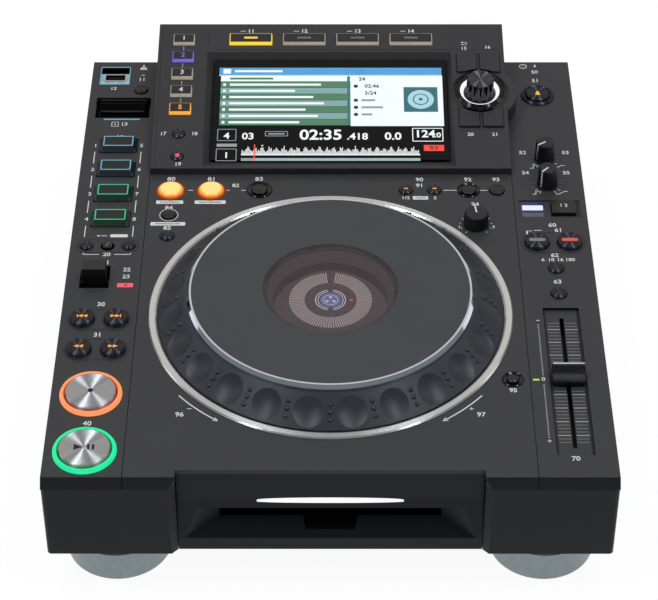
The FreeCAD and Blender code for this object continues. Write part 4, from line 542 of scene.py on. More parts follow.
# Three bank keys: two round, one square between them with its pointer.
BANK_Y, BANK_STEP, BANK_RISE = 198, 13, 1.6
for number, x in enumerate((-BANK_STEP, 0, BANK_STEP)):
    if x:
        key = round_key(3.95, BANK_RISE, 0.7, glossy_key, crown=0.35)
    else:
        key = square_key(6, 6, 1.6, BANK_RISE, 0.4, key_plastic)
        key.slab(stroke((-0.9, -1.6), (1.0, 1.9), 0.7), grey_ink, BANK_RISE, BANK_RISE + INK)
    key.control(f"bank_key_{number + 1}", "bank_buttons", (-STRIP + x, BANK_Y, 0))
joining_line("bank_line", 38, 12.5, (-STRIP, BANK_Y, 0))

# Four pads of silicone rubber, each with a lit frame round its top and light in its sides.
PAD_Y, PAD_PITCH, PAD_RISE = 299, 25, 4
pad_top = rounded(17.8, 8.8, 0.4, 0)
for number in range(4):
    frame_look = (cyan_lens, pad_green_lens)[number // 2]
    side_look = (dim_cyan_side, dim_green_side)[number // 2]
    pad = Shape()
    pad.loft([rounded(24, 15, 2, UNDER), rounded(24, 15, 2, 0.7), rounded(23, 14, 1.6, 1.2),
              rounded(20, 11, 1, 3.2), rounded(19.4, 10.4, 0.8, 3.9)], side_look)
    pad.band(rounded(19.2, 10.2, 0.7, 0), pad_top, frame_look, 3.8, PAD_RISE)
    pad.slab(pad_top, pad_rubber, 3.7, PAD_RISE - 0.05)
    pad.control(f"pad_key_{number + 1}", f"hot_cue_pad_{number + 1}", (-STRIP, PAD_Y - PAD_PITCH * number, 0),
                "pad_lit")

# Small round keys, each with its own top: (name, node, x, y, radius, rise, finish).
LOOP_IN_X, LOOP_OUT_X, ROW_Y, CALL_X, DELETE_X, MEMORY_X = -101, -75.5, 252.6, (47.5, 65.5), 87, 104.9
RELOOP, HALF_BEAT, TEMPO_RESET = (-45, 253), (LOOP_IN_X, 228.2), (105.1, 78.5)
ROUND_KEYS = (
    ("usb_stop_key", "usb_stop_button", -126.3, 359.5, 4.5, 1.5, gloss_plastic),
    ("reloop_key", "reloop_button", *RELOOP, 5, 1.8, key_plastic),
    ("half_beat_key", "beat_and_slip_buttons", *HALF_BEAT, 4.4, 1.8, key_plastic),
    ("slip_key", "beat_and_slip_buttons", LOOP_IN_X, 207.5, 4.45, 1.8, glossy_key),
    ("call_back_key", "call_buttons", CALL_X[0], ROW_Y, 4.4, 1.8, glossy_key),
    ("call_on_key", "call_buttons", CALL_X[1], ROW_Y, 4.4, 1.8, glossy_key),
    ("delete_key", "memory_buttons", DELETE_X, ROW_Y, 4.75, 1.8, key_plastic),
    ("memory_key", "memory_buttons", MEMORY_X, ROW_Y, 4.75, 1.8, key_plastic),
    ("tempo_range_key", "tempo_buttons", STRIP, 177, 4.8, 1.8, glossy_key),
    ("master_tempo_key", "tempo_buttons", STRIP, 153.6, 4.8, 1.8, glossy_key),
    ("tempo_reset_key", "tempo_reset_button", *TEMPO_RESET, 3.5, 1.8, key_plastic),
)
for name, node, x, y, radius, rise, look in ROUND_KEYS:
    key = round_key(radius, rise, 0.6, look, crown=0.45, steps=40)
    if node == "call_buttons":
        key.slab(rounded(2.6, 0.9, 0.3, 0), orange_light, rise - 0.02, rise + INK)
    key.control(name, node, (x, y, 0))

# Two sync keys with their pills, and a line round the pair.
SYNC_Y, SYNC_STEP, SYNC_RISE = 201.3, 10, 2.6
for name, x, look in (("sync_key", -SYNC_STEP, grey_pill), ("double_key", SYNC_STEP, red_pill)):
    key = round_key(7.65, SYNC_RISE, 0.9, glossy_key)
    key.slab(rounded(10, 2.9, 1.2, 0), look, SYNC_RISE, SYNC_RISE + INK)
    key.control(name, "sync_buttons", (STRIP + x, SYNC_Y, 0))
joining_line("sync_pair_line", 39.5, 19.5, (STRIP, SYNC_Y, 0))

# The two loop keys are amber domes, lit from below.
LOOP_Y = 252
for name, x in (("loop_in", LOOP_IN_X), ("loop_out", LOOP_OUT_X)):
    dome = Shape().turned([(8.6, UNDER), (8.6, 0.1), (8.3, 0.9), (7.6, 1.8), (6.5, 2.5), (5, 2.95), (3, 3.2),
                           (1, 3.3)], loop_light, 64)
    dome.control(f"{name}_dome", f"{name}_button", (x, LOOP_Y, 0), "loop_lit")
    collar = Shape().band(circle(9.7, 0, 64), circle(8.8, 0, 64), amber_spill)
    collar.piece(f"{name}_glow", "base", "loop_lit", at=(x, LOOP_Y, 0))

# The eject key: glossy, in a glossy ring, with a lit triangle and bar.
EJECT, EJECT_RISE = (STRIP, 353, 0), 2.5
eject = round_key(7.75, EJECT_RISE, 1.1, glossy_key)
for outline in (triangle(0, 0.7, 3.6, 90), stroke((-1.6, -1.7), (1.6, -1.7), 0.7)):
    eject.slab(outline, yellow_light, EJECT_RISE, EJECT_RISE + INK)
eject.control("eject_key", "eject_button", EJECT)
lens_ring(11, 8.1, 1.6, glossy_key, glossy_key).light("eject_ring", EJECT)

# The light bar under the deck's edge is widest in its middle.
HALF_BAR, BAR_ABOVE, BAR_BELOW, BAR_STEPS = 41, 1.75, 0.55, 24
bar = Shape()
for low, high, grow in ((-1.4, 0, 1.0), (0, 0.25, 0.9)):
    turns = [math.pi * k / BAR_STEPS for k in range(BAR_STEPS + 1)]
    above = [(HALF_BAR * grow * math.cos(a), BAR_ABOVE * grow * math.sin(a)) for a in turns]
    below = [(x, -BAR_BELOW * y) for x, y in reversed(above[1:-1])]
    bar.slab(above + below, white_lens, low, high)
BAR_FACE = Matrix.Translation((0, FRONT + 1.9, 65.2)) @ Matrix.Rotation(math.pi / 2, 4, "X")
bar.light("light_bar", face=BAR_FACE)

# Three small grip bumps stand between each two dimples of the jog wheel. A grey shade fills the room between
# the round display and the window above it; its even glow is painted light, so that it shows no shadow.
BUMP_ROWS, WHEEL_TOP, WHEEL_INNER, WHEEL_SLOPE = 24, 15, 86, 13.4 / 16.6
bumps = Shape()
for k in range(BUMP_ROWS):
    a = math.tau * k / BUMP_ROWS
    for reach in (91, 94.5, 98):
        z = WHEEL_TOP - (reach - WHEEL_INNER) * WHEEL_SLOPE
        bumps.turned([(1.45, z - 0.9), (1.4, z + 0.35), (1.0, z + 0.85), (0.4, z + 1.1)], wheel_rubber, 12,
                     (reach * math.cos(a), reach * math.sin(a)))
bumps.piece("jog_grip_bumps", "jog", "jog_black", at=(*JOG, 0))
shade = Shape().turned([(34.05, 8.9), (37.4, 15.6), (37.6, 15.6), (34.6, 8.9)], shade_cone_painted_glow, 72,
                       closed=True)
shade.piece("jog_display_shade", "base", "jog_black", at=(*JOG, 0))

# The stick socket's well: a lit frame, a lit tray in its front part and the metal shell of the socket.
STICK, TRAY, TRAY_TOP = (-144.6, 375.9), (-144.6, 373.4), -2.2
shell, mouth = rounded(14.6, 7.8, 0.8, 0, STICK), rounded(12.8, 5.8, 0.3, 0, STICK)
tongue = rounded(10, 1.9, 0.2, 0, (STICK[0], STICK[1] + 0.8))
socket = Shape()
socket.band(rounded(19.9, 19.9, 1, 0, STICK), rounded(18.9, 18.9, 0.6, 0, STICK), cyan_lens, -0.25, 0.05)
socket.band(rounded(19.4, 14.4, 0.3, 0, TRAY), shell, usb_lens, TRAY_TOP - 0.6, TRAY_TOP)
socket.band(shell, mouth, nickel, TRAY_TOP - 3.5, TRAY_TOP + 0.5)
socket.slab(mouth, black_and_painted_shade, TRAY_TOP - 3.4, TRAY_TOP - 2.4)
socket.slab(tongue, black_plastic, TRAY_TOP - 2.4, TRAY_TOP - 0.6)
socket.piece("stick_socket_frame", "base", "light_clear")

# Near-black strips round the card door are painted shade on the well's floor; then the door's ridge and its
# lip.
WELL_FLOOR = -1.5
well = Shape()
for start, end, width in (((-153.7, 329.3), (-153.7, 350.7), 2.6), ((-120.8, 329.3), (-120.8, 350.7), 2.6),
                          ((-154.9, 331.3), (-119.6, 331.3), 4.2)):
    well.slab(stroke(start, end, width), black_and_painted_shade)
well.piece("card_well_painted_shade", "base", "deck_grey", at=(0, 0, WELL_FLOOR))
door = Shape()
door.slab(stroke((-152.6, 342.8), (-121.4, 342.8), 0.5), black_plastic, 1.0, 1.35)
lip = [(x, 333.7 - 0.5 * math.cos(math.pi * (x + STRIP) / 29)) for x in range(-151, -122, 4)]
lip += [(x, 334.6) for x in range(-123, -152, -4)]
door.slab(lip, lip_plastic, 1.05, 1.45)
door.piece("card_door_lip", "card_door", "key_black")

# The jog mode key and its well's two labels.
MODE_Y, MODE_RISE = 234.5, 2
mode = square_key(15, 12.4, 0.8, MODE_RISE, 0.5, key_plastic)
mode.digits("1 2", 4, 0, 0.8, white_ink, MODE_RISE, MODE_RISE + INK)
mode.control("jog_mode_key", "jog_mode_button", (145.6, MODE_Y, 0))

# Keys on the display housing: four menu keys, five source keys, two side keys and four curved corner keys.
KEY_RISE, WINDOW_Y = 1.2, 0.7
LEGEND = (KEY_RISE + 0.03, KEY_RISE + 2 * INK)
MENU_X, MENU_Y = (-53.4, -17.8, 17.8, 53.4), 118
SIDE_X, SOURCE_Y, SOURCE_PITCH, TIME_Y, QUANTIZE_Y = -98, 52.8, 16.2, 30.6, 10.6


def framed_key(width, length, corner, window_width, window_length, look):
    """A key whose frame shows round a dark window in its top."""
    key = square_key(width, length, corner, KEY_RISE, 0.25, look)
    window = rounded(window_width, window_length, 0.3, 0, (0, WINDOW_Y))
    return key.slab(window, key_plastic, KEY_RISE - 0.05, KEY_RISE + INK)


for number, x in enumerate(MENU_X):
    frame_look, legend_look = (beige_frames_painted_glow, grey_ink) if number else (yellow_light, yellow_light)
    key = framed_key(28.4, 10.1, 0.6, 27.2, 7.9, frame_look)
    key.slab(rounded(9, 1.7, 0.3, 0, (0, WINDOW_Y)), legend_look, *LEGEND)
    key.control(f"menu_key_{number + 1}", "menu_buttons", (x, MENU_Y, 0), face=SLOPE)
SOURCE_LIGHTS = (source_orange, beige_frames_painted_glow, beige_frames_painted_glow, violet_light, beige_frames_painted_glow)
for number, look in enumerate(SOURCE_LIGHTS):
    key = framed_key(14, 9.5, 0.5, 12.9, 7.4, look)
    key.digits(str(5 - number), 5.4, 0, WINDOW_Y, white_ink if look == beige_frames_painted_glow else look, *LEGEND)
    place = (SIDE_X, SOURCE_Y + SOURCE_PITCH * number, 0)
    key.control(f"source_key_{number + 1}", "source_buttons", place, face=SLOPE)
for name, s in (("time_key", TIME_Y), ("quantize_key", QUANTIZE_Y)):
    key = round_key(4.05, KEY_RISE, 0.5, glossy_key, crown=0.3, steps=40)
    if name == "quantize_key":
        key.turned([(1.5, KEY_RISE - 0.05), (1.5, KEY_RISE + 0.1), (1.1, KEY_RISE + 0.3)], red_light, 24)
    key.control(name, "display_side_buttons", (SIDE_X, s, 0), face=SLOPE)


# Knobs, slider and lever

def fluted(radius, depth, count, height, steps=8):
    """A level ring whose radius dips between a number of ribs."""
    spots = []
    for k in range(count * steps):
        a = math.tau * k / (count * steps)
        reach = radius - depth * (0.5 - 0.5 * math.cos(count * a))
        spots.append((reach * math.cos(a), reach * math.sin(a), height))
    return spots


def pointer(shape, radius, foot, top, azimuth):
    """A white line from the middle of a knob's top to its rim and down its side."""
    turn = Matrix.Rotation(math.radians(azimuth), 4, "Z")
    for start, end, low in ((0, radius, top - 0.02), (radius - 0.3, radius + 0.12, foot)):
        line = [turn @ Vector((x, y, 0)) for x, y in stroke((start, 0), (end, 0), 1.0)]
        shape.slab(line, white_ink, low, top + INK)


def ribbed_knob(radius, rise, ribs, azimuth):
    """A tall knob with a ribbed side, a knurled grey top and a pointer."""
    knob = Shape()
    knob.turned([(2.9, UNDER), (2.9, 0.5)], knob_plastic, 24)
    sides = ((0.4, 0, 0.0), (1.0, 0, 0.5), (rise - 1.1, 0.35, 0.45), (rise - 0.5, 0.6, 0.2),
             (rise - 0.25, 1.0, 0.0))
    knob.loft([fluted(radius - inset, depth, ribs, z) for z, inset, depth in sides], knob_plastic)
    knob.turned([(radius - 1.0, rise - 0.3), (radius - 1.15, rise - 0.06)], knob_top, 48)
    pointer(knob, radius - 0.45, 1.6, rise - 0.06, azimuth)
    return knob


START_Y, BRAKE_Y, ADJUST = 285, 258.5, (90.2, 219)
KNOBS = (
    ("start_speed_knob_cap", "start_speed_knob", STRIP, START_Y, 6.35, 14, 20, 214),
    ("brake_speed_knob_cap", "brake_speed_knob", STRIP, BRAKE_Y, 6.35, 14, 20, 226),
    ("jog_adjust_cap", "jog_adjust_knob", *ADJUST, 7.8, 9.8, 24, 97),
)
for name, node, x, y, *form in KNOBS:
    ribbed_knob(*form).control(name, node, (x, y, 0), "knob_black")

# The selector: a scalloped glossy knob with a spun top. Its lit ring is a funnel in the middle of a dish.
SELECTOR, LOBES = (97.4, 68.9, 0), 12
knob = Shape()
sides = ((0.1, 9.6, 1.0), (1.7, 9.3, 1.3), (3, 8.9, 1.3), (9.2, 8.8, 1.1), (10.8, 8.8, 0.8), (11.4, 8.6, 0.5),
         (11.7, 8.3, 0.4))
top = ((11.62, 8.25, 0.4), (11.8, 8.1, 0.4))
for levels, look in ((sides, gloss_plastic), (top, knob_cap)):
    knob.loft([fluted(radius, depth, LOBES, z, 12) for z, radius, depth in levels], look)
knob.piece("selector_cap", "selector_turn", "knob_black", SLOPE, SELECTOR, ["selector_knob"])
ring = Shape().turned([(10.6, -1.0), (12.9, -1.0), (12.9, 1.1), (12.6, 1.25), (12.3, 1.1), (10.7, -0.85)],
                      white_lens, 72, closed=True)
ring.light("selector_lit_ring", SELECTOR, SLOPE)
dish = Shape()
dish.turned([(12.95, -1.02), (12.95, 1.15), (13.2, 1.2), (13.9, 0.75), (14.2, 0.75), (14.9, 0.2), (15.2, 0.2),
             (15.9, -0.4), (16.5, -0.4), (16.5, -1.02)], gloss_plastic, 96, closed=True)
dish.turned([(16.6, -0.02), (19.0, -0.02), (19.0, 0.12), (16.7, 0.02)], gloss_plastic, 96, closed=True)
dish.piece("selector_dish_rings", "base", "housing_grey", SLOPE, SELECTOR)

# The tempo slider: its cap is hollowed towards the front and has a white line on its ridge. Its scale is on
# the well's floor.
SLIDER_Y, SLIDER_TRAVEL, SCALE_STEPS, WELL_DEPTH = 79, 100, 36, 1.8
CAP_FOOT, CAP_TOP = 0.4, 9.0
saddle = ((-6, CAP_FOOT), (-6, 3.0), (-5.4, 3.9), (-4.4, 4.1), (-2.6, 4.3), (-0.6, 5.2), (1.2, 7.0),
          (2.3, 8.7), (3.0, CAP_TOP), (4.4, CAP_TOP), (5.2, 8.2), (5.9, 5.6), (6, CAP_FOOT))
cap = Shape()
cap.loft([[(x, y * share, CAP_FOOT + (z - CAP_FOOT) * share) for y, z in reversed(saddle)]
          for x, share in ((-9.5, 0.93), (-9.1, 1), (9.1, 1), (9.5, 0.93))], knob_plastic)
cap.slab(stroke((-9.1, 3.7), (9.1, 3.7), 0.9), white_ink, CAP_TOP - 0.05, CAP_TOP + INK)
cap.slab(stroke((-1.2, 0), (1.2, 0), 1.6), key_plastic, -8, 0.5)
cap.control("slider_cap", "tempo_slider_cap", (STRIP, SLIDER_Y, 0), "knob_black")
scale = Shape()
for k in range(SCALE_STEPS + 1):
    y = (k / SCALE_STEPS - 0.5) * SLIDER_TRAVEL
    reach, look = (9.0, scale_bright) if k % 4 == 2 else (8.5, grey_ink)
    for side in (-1, 1):
        scale.slab(stroke((side * 1.7, y), (side * reach, y), 0.65), look)
for x in (-9.9, 9.9):
    scale.slab(stroke((x, -61.5), (x, 61.5), 1.5), dark_ink)
scale.piece("slider_scale", "base", "deck_grey", at=(STRIP, SLIDER_Y, -WELL_DEPTH))


# Marks: plain numbers, arrows, pills, lines and scales

def numbered(shape, size, *places):
    """Plain numbers of one size at their places on a panel: (text, x, y)."""
    for text, x, y in places:
        shape.digits(text, size * 1.45, x, y, white_ink)


def lines(shape, look, width, *spans):
    """Straight lines of one width: (from x, from y, to x, to y)."""
    for x0, y0, x1, y1 in spans:
        shape.slab(stroke((x0, y0), (x1, y1), width), look)


left = Shape()
PAD_SIDES, CARD_ICON = (-152, -122.3), (-141, 321.9)
for k in range(4):
    y = PAD_Y - PAD_PITCH * k
    numbered(left, 3.2, (str(k + 1), PAD_SIDES[0], y), (str(k + 5), PAD_SIDES[1], y))
    low = y - (18.5 if k < 3 else 17)
    lines(left, white_ink, 0.6, *((x, y - 6.5, x, low) for x in PAD_SIDES))
numbered(left, 3.4, ("10", -STRIP, 307.9), ("11", -126.4, 371.4), ("20", -STRIP, 190.1),
         ("21", -STRIP, 182.3), ("30", -STRIP, 143.9), ("31", -STRIP, 116.8), ("40", -137.3, 42.2))
numbered(left, 3.2, ("13", -135, 321.9), ("22", -123.7, 175.6), ("23", -123.7, 169.2))
numbered(left, 3.0, ("12", -144.8, 361.2))
left.slab(rounded(11, 2.8, 1, 0, (-130.6, 207.9)), pill_white)
left.slab(triangle(-143.5, 207.9, 2.2, 180), white_ink)
lines(left, white_ink, 0.55, (-141.6, 207.9, -138, 207.9))
for side in (-1, 1):
    far = -STRIP + side * 14.5
    lines(left, white_ink, 0.55, (far, 190.1, -STRIP + side * 4.8, 190.1), (far, 189.9, far, 191.6))
left.slab(rounded(9.6, 3.7, 0.3, 0, (-123.8, 161.4)), red_pill_light)
left.slab(triangle(-123.8, 161.4, 2.4, 180), dark_red)
left.slab(rounded(23.6, 1.1, 0.4, 0, (-STRIP, 327.3)), cyan_lens)
left.band(rounded(4.8, 5.2, 0.9, 0, CARD_ICON), rounded(3.9, 4.3, 0.5, 0, CARD_ICON), white_ink)
left.slab(triangle(*CARD_ICON, 1.9, 90), white_ink)
left.slab([(-128.6, 382.6), (-123.6, 382.6), (-124.4, 385.4), (-127.8, 385.4)], white_ink)
lines(left, white_ink, 1.0, (-126.1, 385, -126.1, 388))
lines(left, white_ink, 0.6, (-127.2, 376.3, -124.8, 376.3))
left.piece("left_strip_marks", "base", "deck_grey")

right = Shape()
POWER, ZERO_X, ZERO_Y = (129.4, 386.4), 122.7, 78.8
right.band(circle(2.6, 0, 32, POWER), circle(2.0, 0, 32, POWER), white_ink)
lines(right, grey_ink, 0.4, (134.5, 385.7, 137, 385.7))
numbered(right, 3.4, ("51", 136.7, 370), ("60", 137.5, 218.2), ("61", 141, 213.2), ("62", 137, 189.2),
         ("63", 137, 164.5), ("70", 136.5, 14.4))
numbered(right, 3.2, ("50", 136.8, 379.8), ("52", 123.5, 291.5), ("53", 151, 291.5), ("54", 124, 270.5),
         ("55", 150, 270.5))
numbered(right, 3.0, ("0", ZERO_X, ZERO_Y))
numbered(right, 2.8, ("6", 129.5, 185), ("10", 134.5, 185), ("16", 140, 185), ("100", 146, 185))
TICK_NEAR = 7.9
TICKS = ((8, 9.6, grey_ink), (-14, 9.6, grey_ink), (-36, 9.8, white_ink), (-58, 10.0, white_ink))
for y in (START_Y, BRAKE_Y):
    for side in (-1, 1):
        for turn, far, look in TICKS:
            across, up = side * math.cos(math.radians(turn)), math.sin(math.radians(turn))
            lines(right, look, 0.45, (STRIP + TICK_NEAR * across, y + TICK_NEAR * up,
                                      STRIP + far * across, y + far * up))
    for bends in (((127, -9.6), (129.4, -9.6), (129.4, -6.6), (132, -6.6)),
                  ((142, -9.6), (144, -9.4), (147.2, -6.9), (149.6, -6.8))):
        for (x0, y0), (x1, y1) in zip(bends, bends[1:]):
            lines(right, white_ink, 0.5, (x0, y + y0, x1, y + y1))
lines(right, white_ink, 1.1, (137.4, 385.4, 137.4, 388.2))
lines(right, white_ink, 1.0, (121.4, 209.4, 121.4, 212.8))
lines(right, white_ink, 0.6, (121.7, 28.4, 123.9, 28.4), (122.8, 27.3, 122.8, 29.5),
      (121.7, 129.6, 123.9, 129.6))
lines(right, white_ink, 0.55, (125.6, 213.1, 130.6, 213.1))
lines(right, white_ink, 0.5, (*POWER, POWER[0], 388.2), (121.4, 212.6, 124.4, 212.6))
right.slab(rounded(3.7, 1.3, 0.3, 0, (118.5, 78.4)), lime_light)
for k in range(45):
    y = 31.4 + k * 2.14
    if abs(y - ZERO_Y) > 3 and y < 127.5:
        right.slab(circle(0.42, 0, 8, (ZERO_X, y)), white_ink)
right.piece("right_strip_marks", "base", "deck_grey")

# The jog mode well: a lit label, a dark label and the light's violet edge, on the well's floor.
LABEL_X, LABEL = -10.6, (0.02, 0.09)
labels = Shape()
labels.slab(rounded(15, 15.4, 0.4, 0, (LABEL_X, 0)), violet_glow, high=0.03)
labels.slab(rounded(13, 4.8, 0.4, 0, (LABEL_X, 1.7)), mode_light, *LABEL)
labels.slab(rounded(13, 3.8, 0.4, 0, (LABEL_X, -5.2)), grey_label, *LABEL)
lines(labels, dark_ink, 1.1, (17.6, -7.5, 17.6, 7.5))
labels.piece("mode_labels", "base", "light_clear", at=(STRIP, MODE_Y, -0.8))

deck = Shape()
numbered(deck, 3.6, ("80", -101.3, 264.2), ("81", -75.6, 264.2), ("83", -45.4, 264.2))
numbered(deck, 3.4, ("84", -101.3, 235.2), ("85", -101.3, 215.3), ("90", 56.3, 263.6), ("91", 56.3, 257.6),
         ("92", DELETE_X, 263.6), ("93", MEMORY_X, 263.6), ("94", 90.6, 238.7), ("96", -85.5, 49.5),
         ("97", 85.5, 49.5))
numbered(deck, 3.2, ("82", -60.1, 257.6), ("95", 104.8, 69.4))
numbered(deck, 2.8, ("1/2", 47.1, 245.2), ("2", 65.6, 245.2))
numbered(deck, 2.4, ("1", 79.8, 216.4), ("9", 101, 216.4))
for x, y, width in ((-101.1, 240.9, 17), (-75.7, 240.9, 19.4), (-101.1, 219.5, 21.6), (56.5, 245.2, 9.6)):
    deck.slab(rounded(width, 3.3, 0.4, 0, (x, y)), pill_white)
    lines(deck, grey_ink, 0.7, (x - width * 0.36, y, x + width * 0.36, y))
for x0, x1 in ((-90.2, -86.6), (-66.3, -63.8), (-56.6, -53.8), (70.9, 79.6), (92.9, 99.0)):
    lines(deck, white_ink, 0.55, (x0, 252.8, x1, 252.8))
deck.band(circle(5.95, 0, 48, HALF_BEAT), circle(5.4, 0, 48, HALF_BEAT), ring_ink)
for at, outer, inner in ((RELOOP, 8.15, 5.3), ((DELETE_X, ROW_Y), 7.3, 5.05), (TEMPO_RESET, 6.4, 3.8)):
    deck.turned([(inner, SUNK), (outer, SUNK), (outer - 0.1, 0.5), (outer - 0.6, 0.8), (inner + 0.6, 0.3),
                 (inner, 0.2)], gloss_plastic, 64, at, closed=True)

# Two arrows curve round the front of the jog wheel, a minus over one and a plus over the other.
ARROW_REACH, ARROW_TURN, HALF_ARROW = 113, 42.6, 7.4
for side in (-1, 1):
    middle = -90 + side * ARROW_TURN
    deck.slab(sector(ARROW_REACH - 0.4, ARROW_REACH + 0.4, middle - HALF_ARROW, middle + HALF_ARROW, JOG),
              white_ink)
    tip = math.radians(middle - side * (HALF_ARROW + 0.2))
    at = (JOG[0] + ARROW_REACH * math.cos(tip), JOG[1] + ARROW_REACH * math.sin(tip))
    deck.slab(triangle(*at, 3.6, math.degrees(tip) - side * 90), white_ink)
lines(deck, white_ink, 0.5, (-81.5, 54.3, -78.9, 54.3), (78.9, 54.3, 81.5, 54.3), (80.2, 53, 80.2, 55.6))
for k in range(11):
    across, up = math.cos(math.radians(-50 + 28 * k)), math.sin(math.radians(-50 + 28 * k))
    lines(deck, white_ink, 0.4, (ADJUST[0] + 9.2 * across, ADJUST[1] + 9.2 * up,
                                 ADJUST[0] + 10.4 * across, ADJUST[1] + 10.4 * up))
deck.piece("deck_marks", "base", "deck_grey")

housing = Shape()
numbered(housing, 3.2, *((str(11 + k), x, 126.2) for k, x in enumerate(MENU_X)))
numbered(housing, 3.0, ("19", -97.4, 3.6))
numbered(housing, 2.8, ("15", 88.4, 109.4), ("16", 104.2, 110.6), ("17", -108, TIME_Y), ("18", -87.8, TIME_Y),
         ("20", 90, 30), ("21", 105.8, 30))
for x in MENU_X:
    lines(housing, white_ink, 0.5, (x - 7.1, 126.2, x - 3.5, 126.2))
housing.slab(sector(0.9, 1.3, -90, 90, (89.4, 114.2)), white_ink)
lines(housing, white_ink, 0.4, (87.6, 115.3, 89.4, 115.3), (86.6, 113.1, 89.4, 113.1))
housing.slab(triangle(87.2, 115.3, 1.6, 180), white_ink)
for number in range(4):
    s = SOURCE_Y + SOURCE_PITCH * (number + 0.5)
    lines(housing, beige_ink, 0.5, (SIDE_X, s - 2, SIDE_X, s + 2))
lines(housing, dark_ink, 0.35, (-112.5, 1.2, -112.5, 128), (-81.8, 1.2, -81.8, 128))
lines(housing, dark_ink, 0.3, (-77, 108.6, 112, 108.6))
for x in (-7.6, 7.6):
    for s in (45.3, 95.4):
        place = (SELECTOR[0] + x, s)
        housing.band(rounded(14.5, 19, 0.6, 0, place), rounded(13, 17.5, 0.4, 0, place), dark_ink)
housing.piece("housing_marks", "base", "housing_grey", SLOPE)


# Displays

def cells(shape, look, layer, *blocks):
    """Blocks of lit display cells: (left, right, low, high)."""
    for x0, x1, s0, s1 in blocks:
        shape.slab([(x0, s0), (x1, s0), (x1, s1), (x0, s1)], look, 0, INK * layer)


def cell_frame(shape, x0, x1, s0, s1, look, width=0.5):
    """An outline of lit cells."""
    middle = ((x0 + x1) / 2, (s0 + s1) / 2)
    outer = rounded(x1 - x0, s1 - s0, 0.6, 0, middle)
    inner = rounded(x1 - x0 - 2 * width, s1 - s0 - 2 * width, 0.3, 0, middle)
    shape.band(outer, inner, look, 0)


GLASS, LIST, TEXT_X = -3, (-72.4, 12.9), -66.5
ROW_LENGTHS, ROW_PITCH, ROW_LOW = (46, 58, 50, 62, 55, 43, 60), 5.77, 41.2
picture = Shape()
cells(picture, lcd_header, 1, (-73.6, 73.1, 87.7, 94.3))
cells(picture, lcd_header_edge, 1, (-73.6, 73.1, 86.6, 87.6))
cells(picture, lcd_white, 1, (*LIST, 81.6, 86.6), (LIST[1], 73.4, 40.5, 86.6))
for row, length in enumerate(ROW_LENGTHS):
    low = ROW_LOW + row * ROW_PITCH
    cells(picture, (lcd_dark_row, lcd_pale_row)[row % 2], 1, (*LIST, low, low + ROW_PITCH - 0.35))
    cells(picture, lcd_white, 2, (TEXT_X, TEXT_X + length, low + 1.7, low + 3.6),
          (-70.8, -69.0, low + 1.5, low + 3.8))
cells(picture, lcd_row_line, 2, (10.7, 12.6, 41.2, 86.2))
cells(picture, lcd_white, 2, (-71, -66, 88.8, 93.2), (-63.5, -32, 90.1, 92))
cells(picture, lcd_dark_row, 2, (TEXT_X, -38, 83.2, 85))
for s in (77, 64, 57.5, 51):
    picture.slab(circle(1.5, 0, 16, (16.4, s)), lcd_ink, 0, INK * 2)
for s, length in ((64, 9), (57.5, 14), (51, 7)):
    cells(picture, lcd_grey, 2, (20, 20 + length, s - 0.9, s + 0.9))
cells(picture, lcd_tile, 2, (47.7, 69.9, 53.3, 76.1))
for radius, steps, look, layer in ((8.6, 48, lcd_disc, 3), (5.2, 40, lcd_tile, 4), (4.4, 40, lcd_disc, 5),
                                   (1.3, 24, lcd_tile, 6)):
    picture.slab(circle(radius, 0, steps, (58.8, 64.7)), look, 0, INK * layer)
for text, x, s in (("24", 20.5, 83.6), ("02:46", 27, 77), ("3/24", 26, 70.5), ("8.0", 66.3, 20.9)):
    picture.digits(text, 4.4, x, s, lcd_ink, 0, INK * 2)
for text, size, x, s in (("4", 7.5, -67.2, 31.5), ("03", 8, -53.4, 31.1), ("02:35", 12.5, -6.4, 32.2),
                         (".418", 8, 17.2, 30.9), ("0.0", 9, 40.2, 31.1), ("124", 9, 60.8, 33.2),
                         (".0", 6, 69, 32.2), ("1", 7, -67, 14.2)):
    picture.digits(text, size, x, s, lcd_white, 0)
cell_frame(picture, -73.3, -61, 27.1, 37.8, lcd_grey)
cell_frame(picture, -42.5, -27.7, 31.3, 35.8, lcd_grey)
cell_frame(picture, 52.6, 72.6, 26.6, 38.7, lcd_white, 0.6)
cell_frame(picture, -73.7, -60.4, 9.3, 20.2, lcd_grey)
cells(picture, lcd_grey, 1, (-40.4, -29.8, 32.9, 34.1), (-73.4, -60.4, 22, 24.6))

# The waveform: 152 bars that rise and fall on three sines.
WAVE_X, WAVE_STEP, WAVE_BAR = -57.2, 0.75, 0.52
for k in range(152):
    x = WAVE_X + k * WAVE_STEP
    swell, beat = abs(math.sin(k * 0.31)) * abs(math.sin(k * 1.7)), abs(math.sin(k * 2.63 + 1)) ** 3
    cells(picture, lcd_wave, 1, (x, x + WAVE_BAR, 15.6, 17.1 + 2.4 * swell + 3.2 * beat))
cells(picture, lcd_white, 1, (-57.5, 57.3, 14.4, 15.5))
cells(picture, lcd_bar, 1, (-57.5, 57.3, 9.5, 11.8))
cells(picture, lcd_grey, 2, (-57.5, -49.3, 9.7, 11.6))
cells(picture, lcd_red, 3, (-49.4, -48.6, 9.2, 23.8))
cells(picture, lcd_red, 1, (59.8, 72.8, 18.2, 23.5))
picture.slab(triangle(-44, 22.6, 2, -90), lime_light, 0, INK * 2)
picture.piece("display_picture", "base", "display_glass", SLOPE, (0, 0, GLASS))

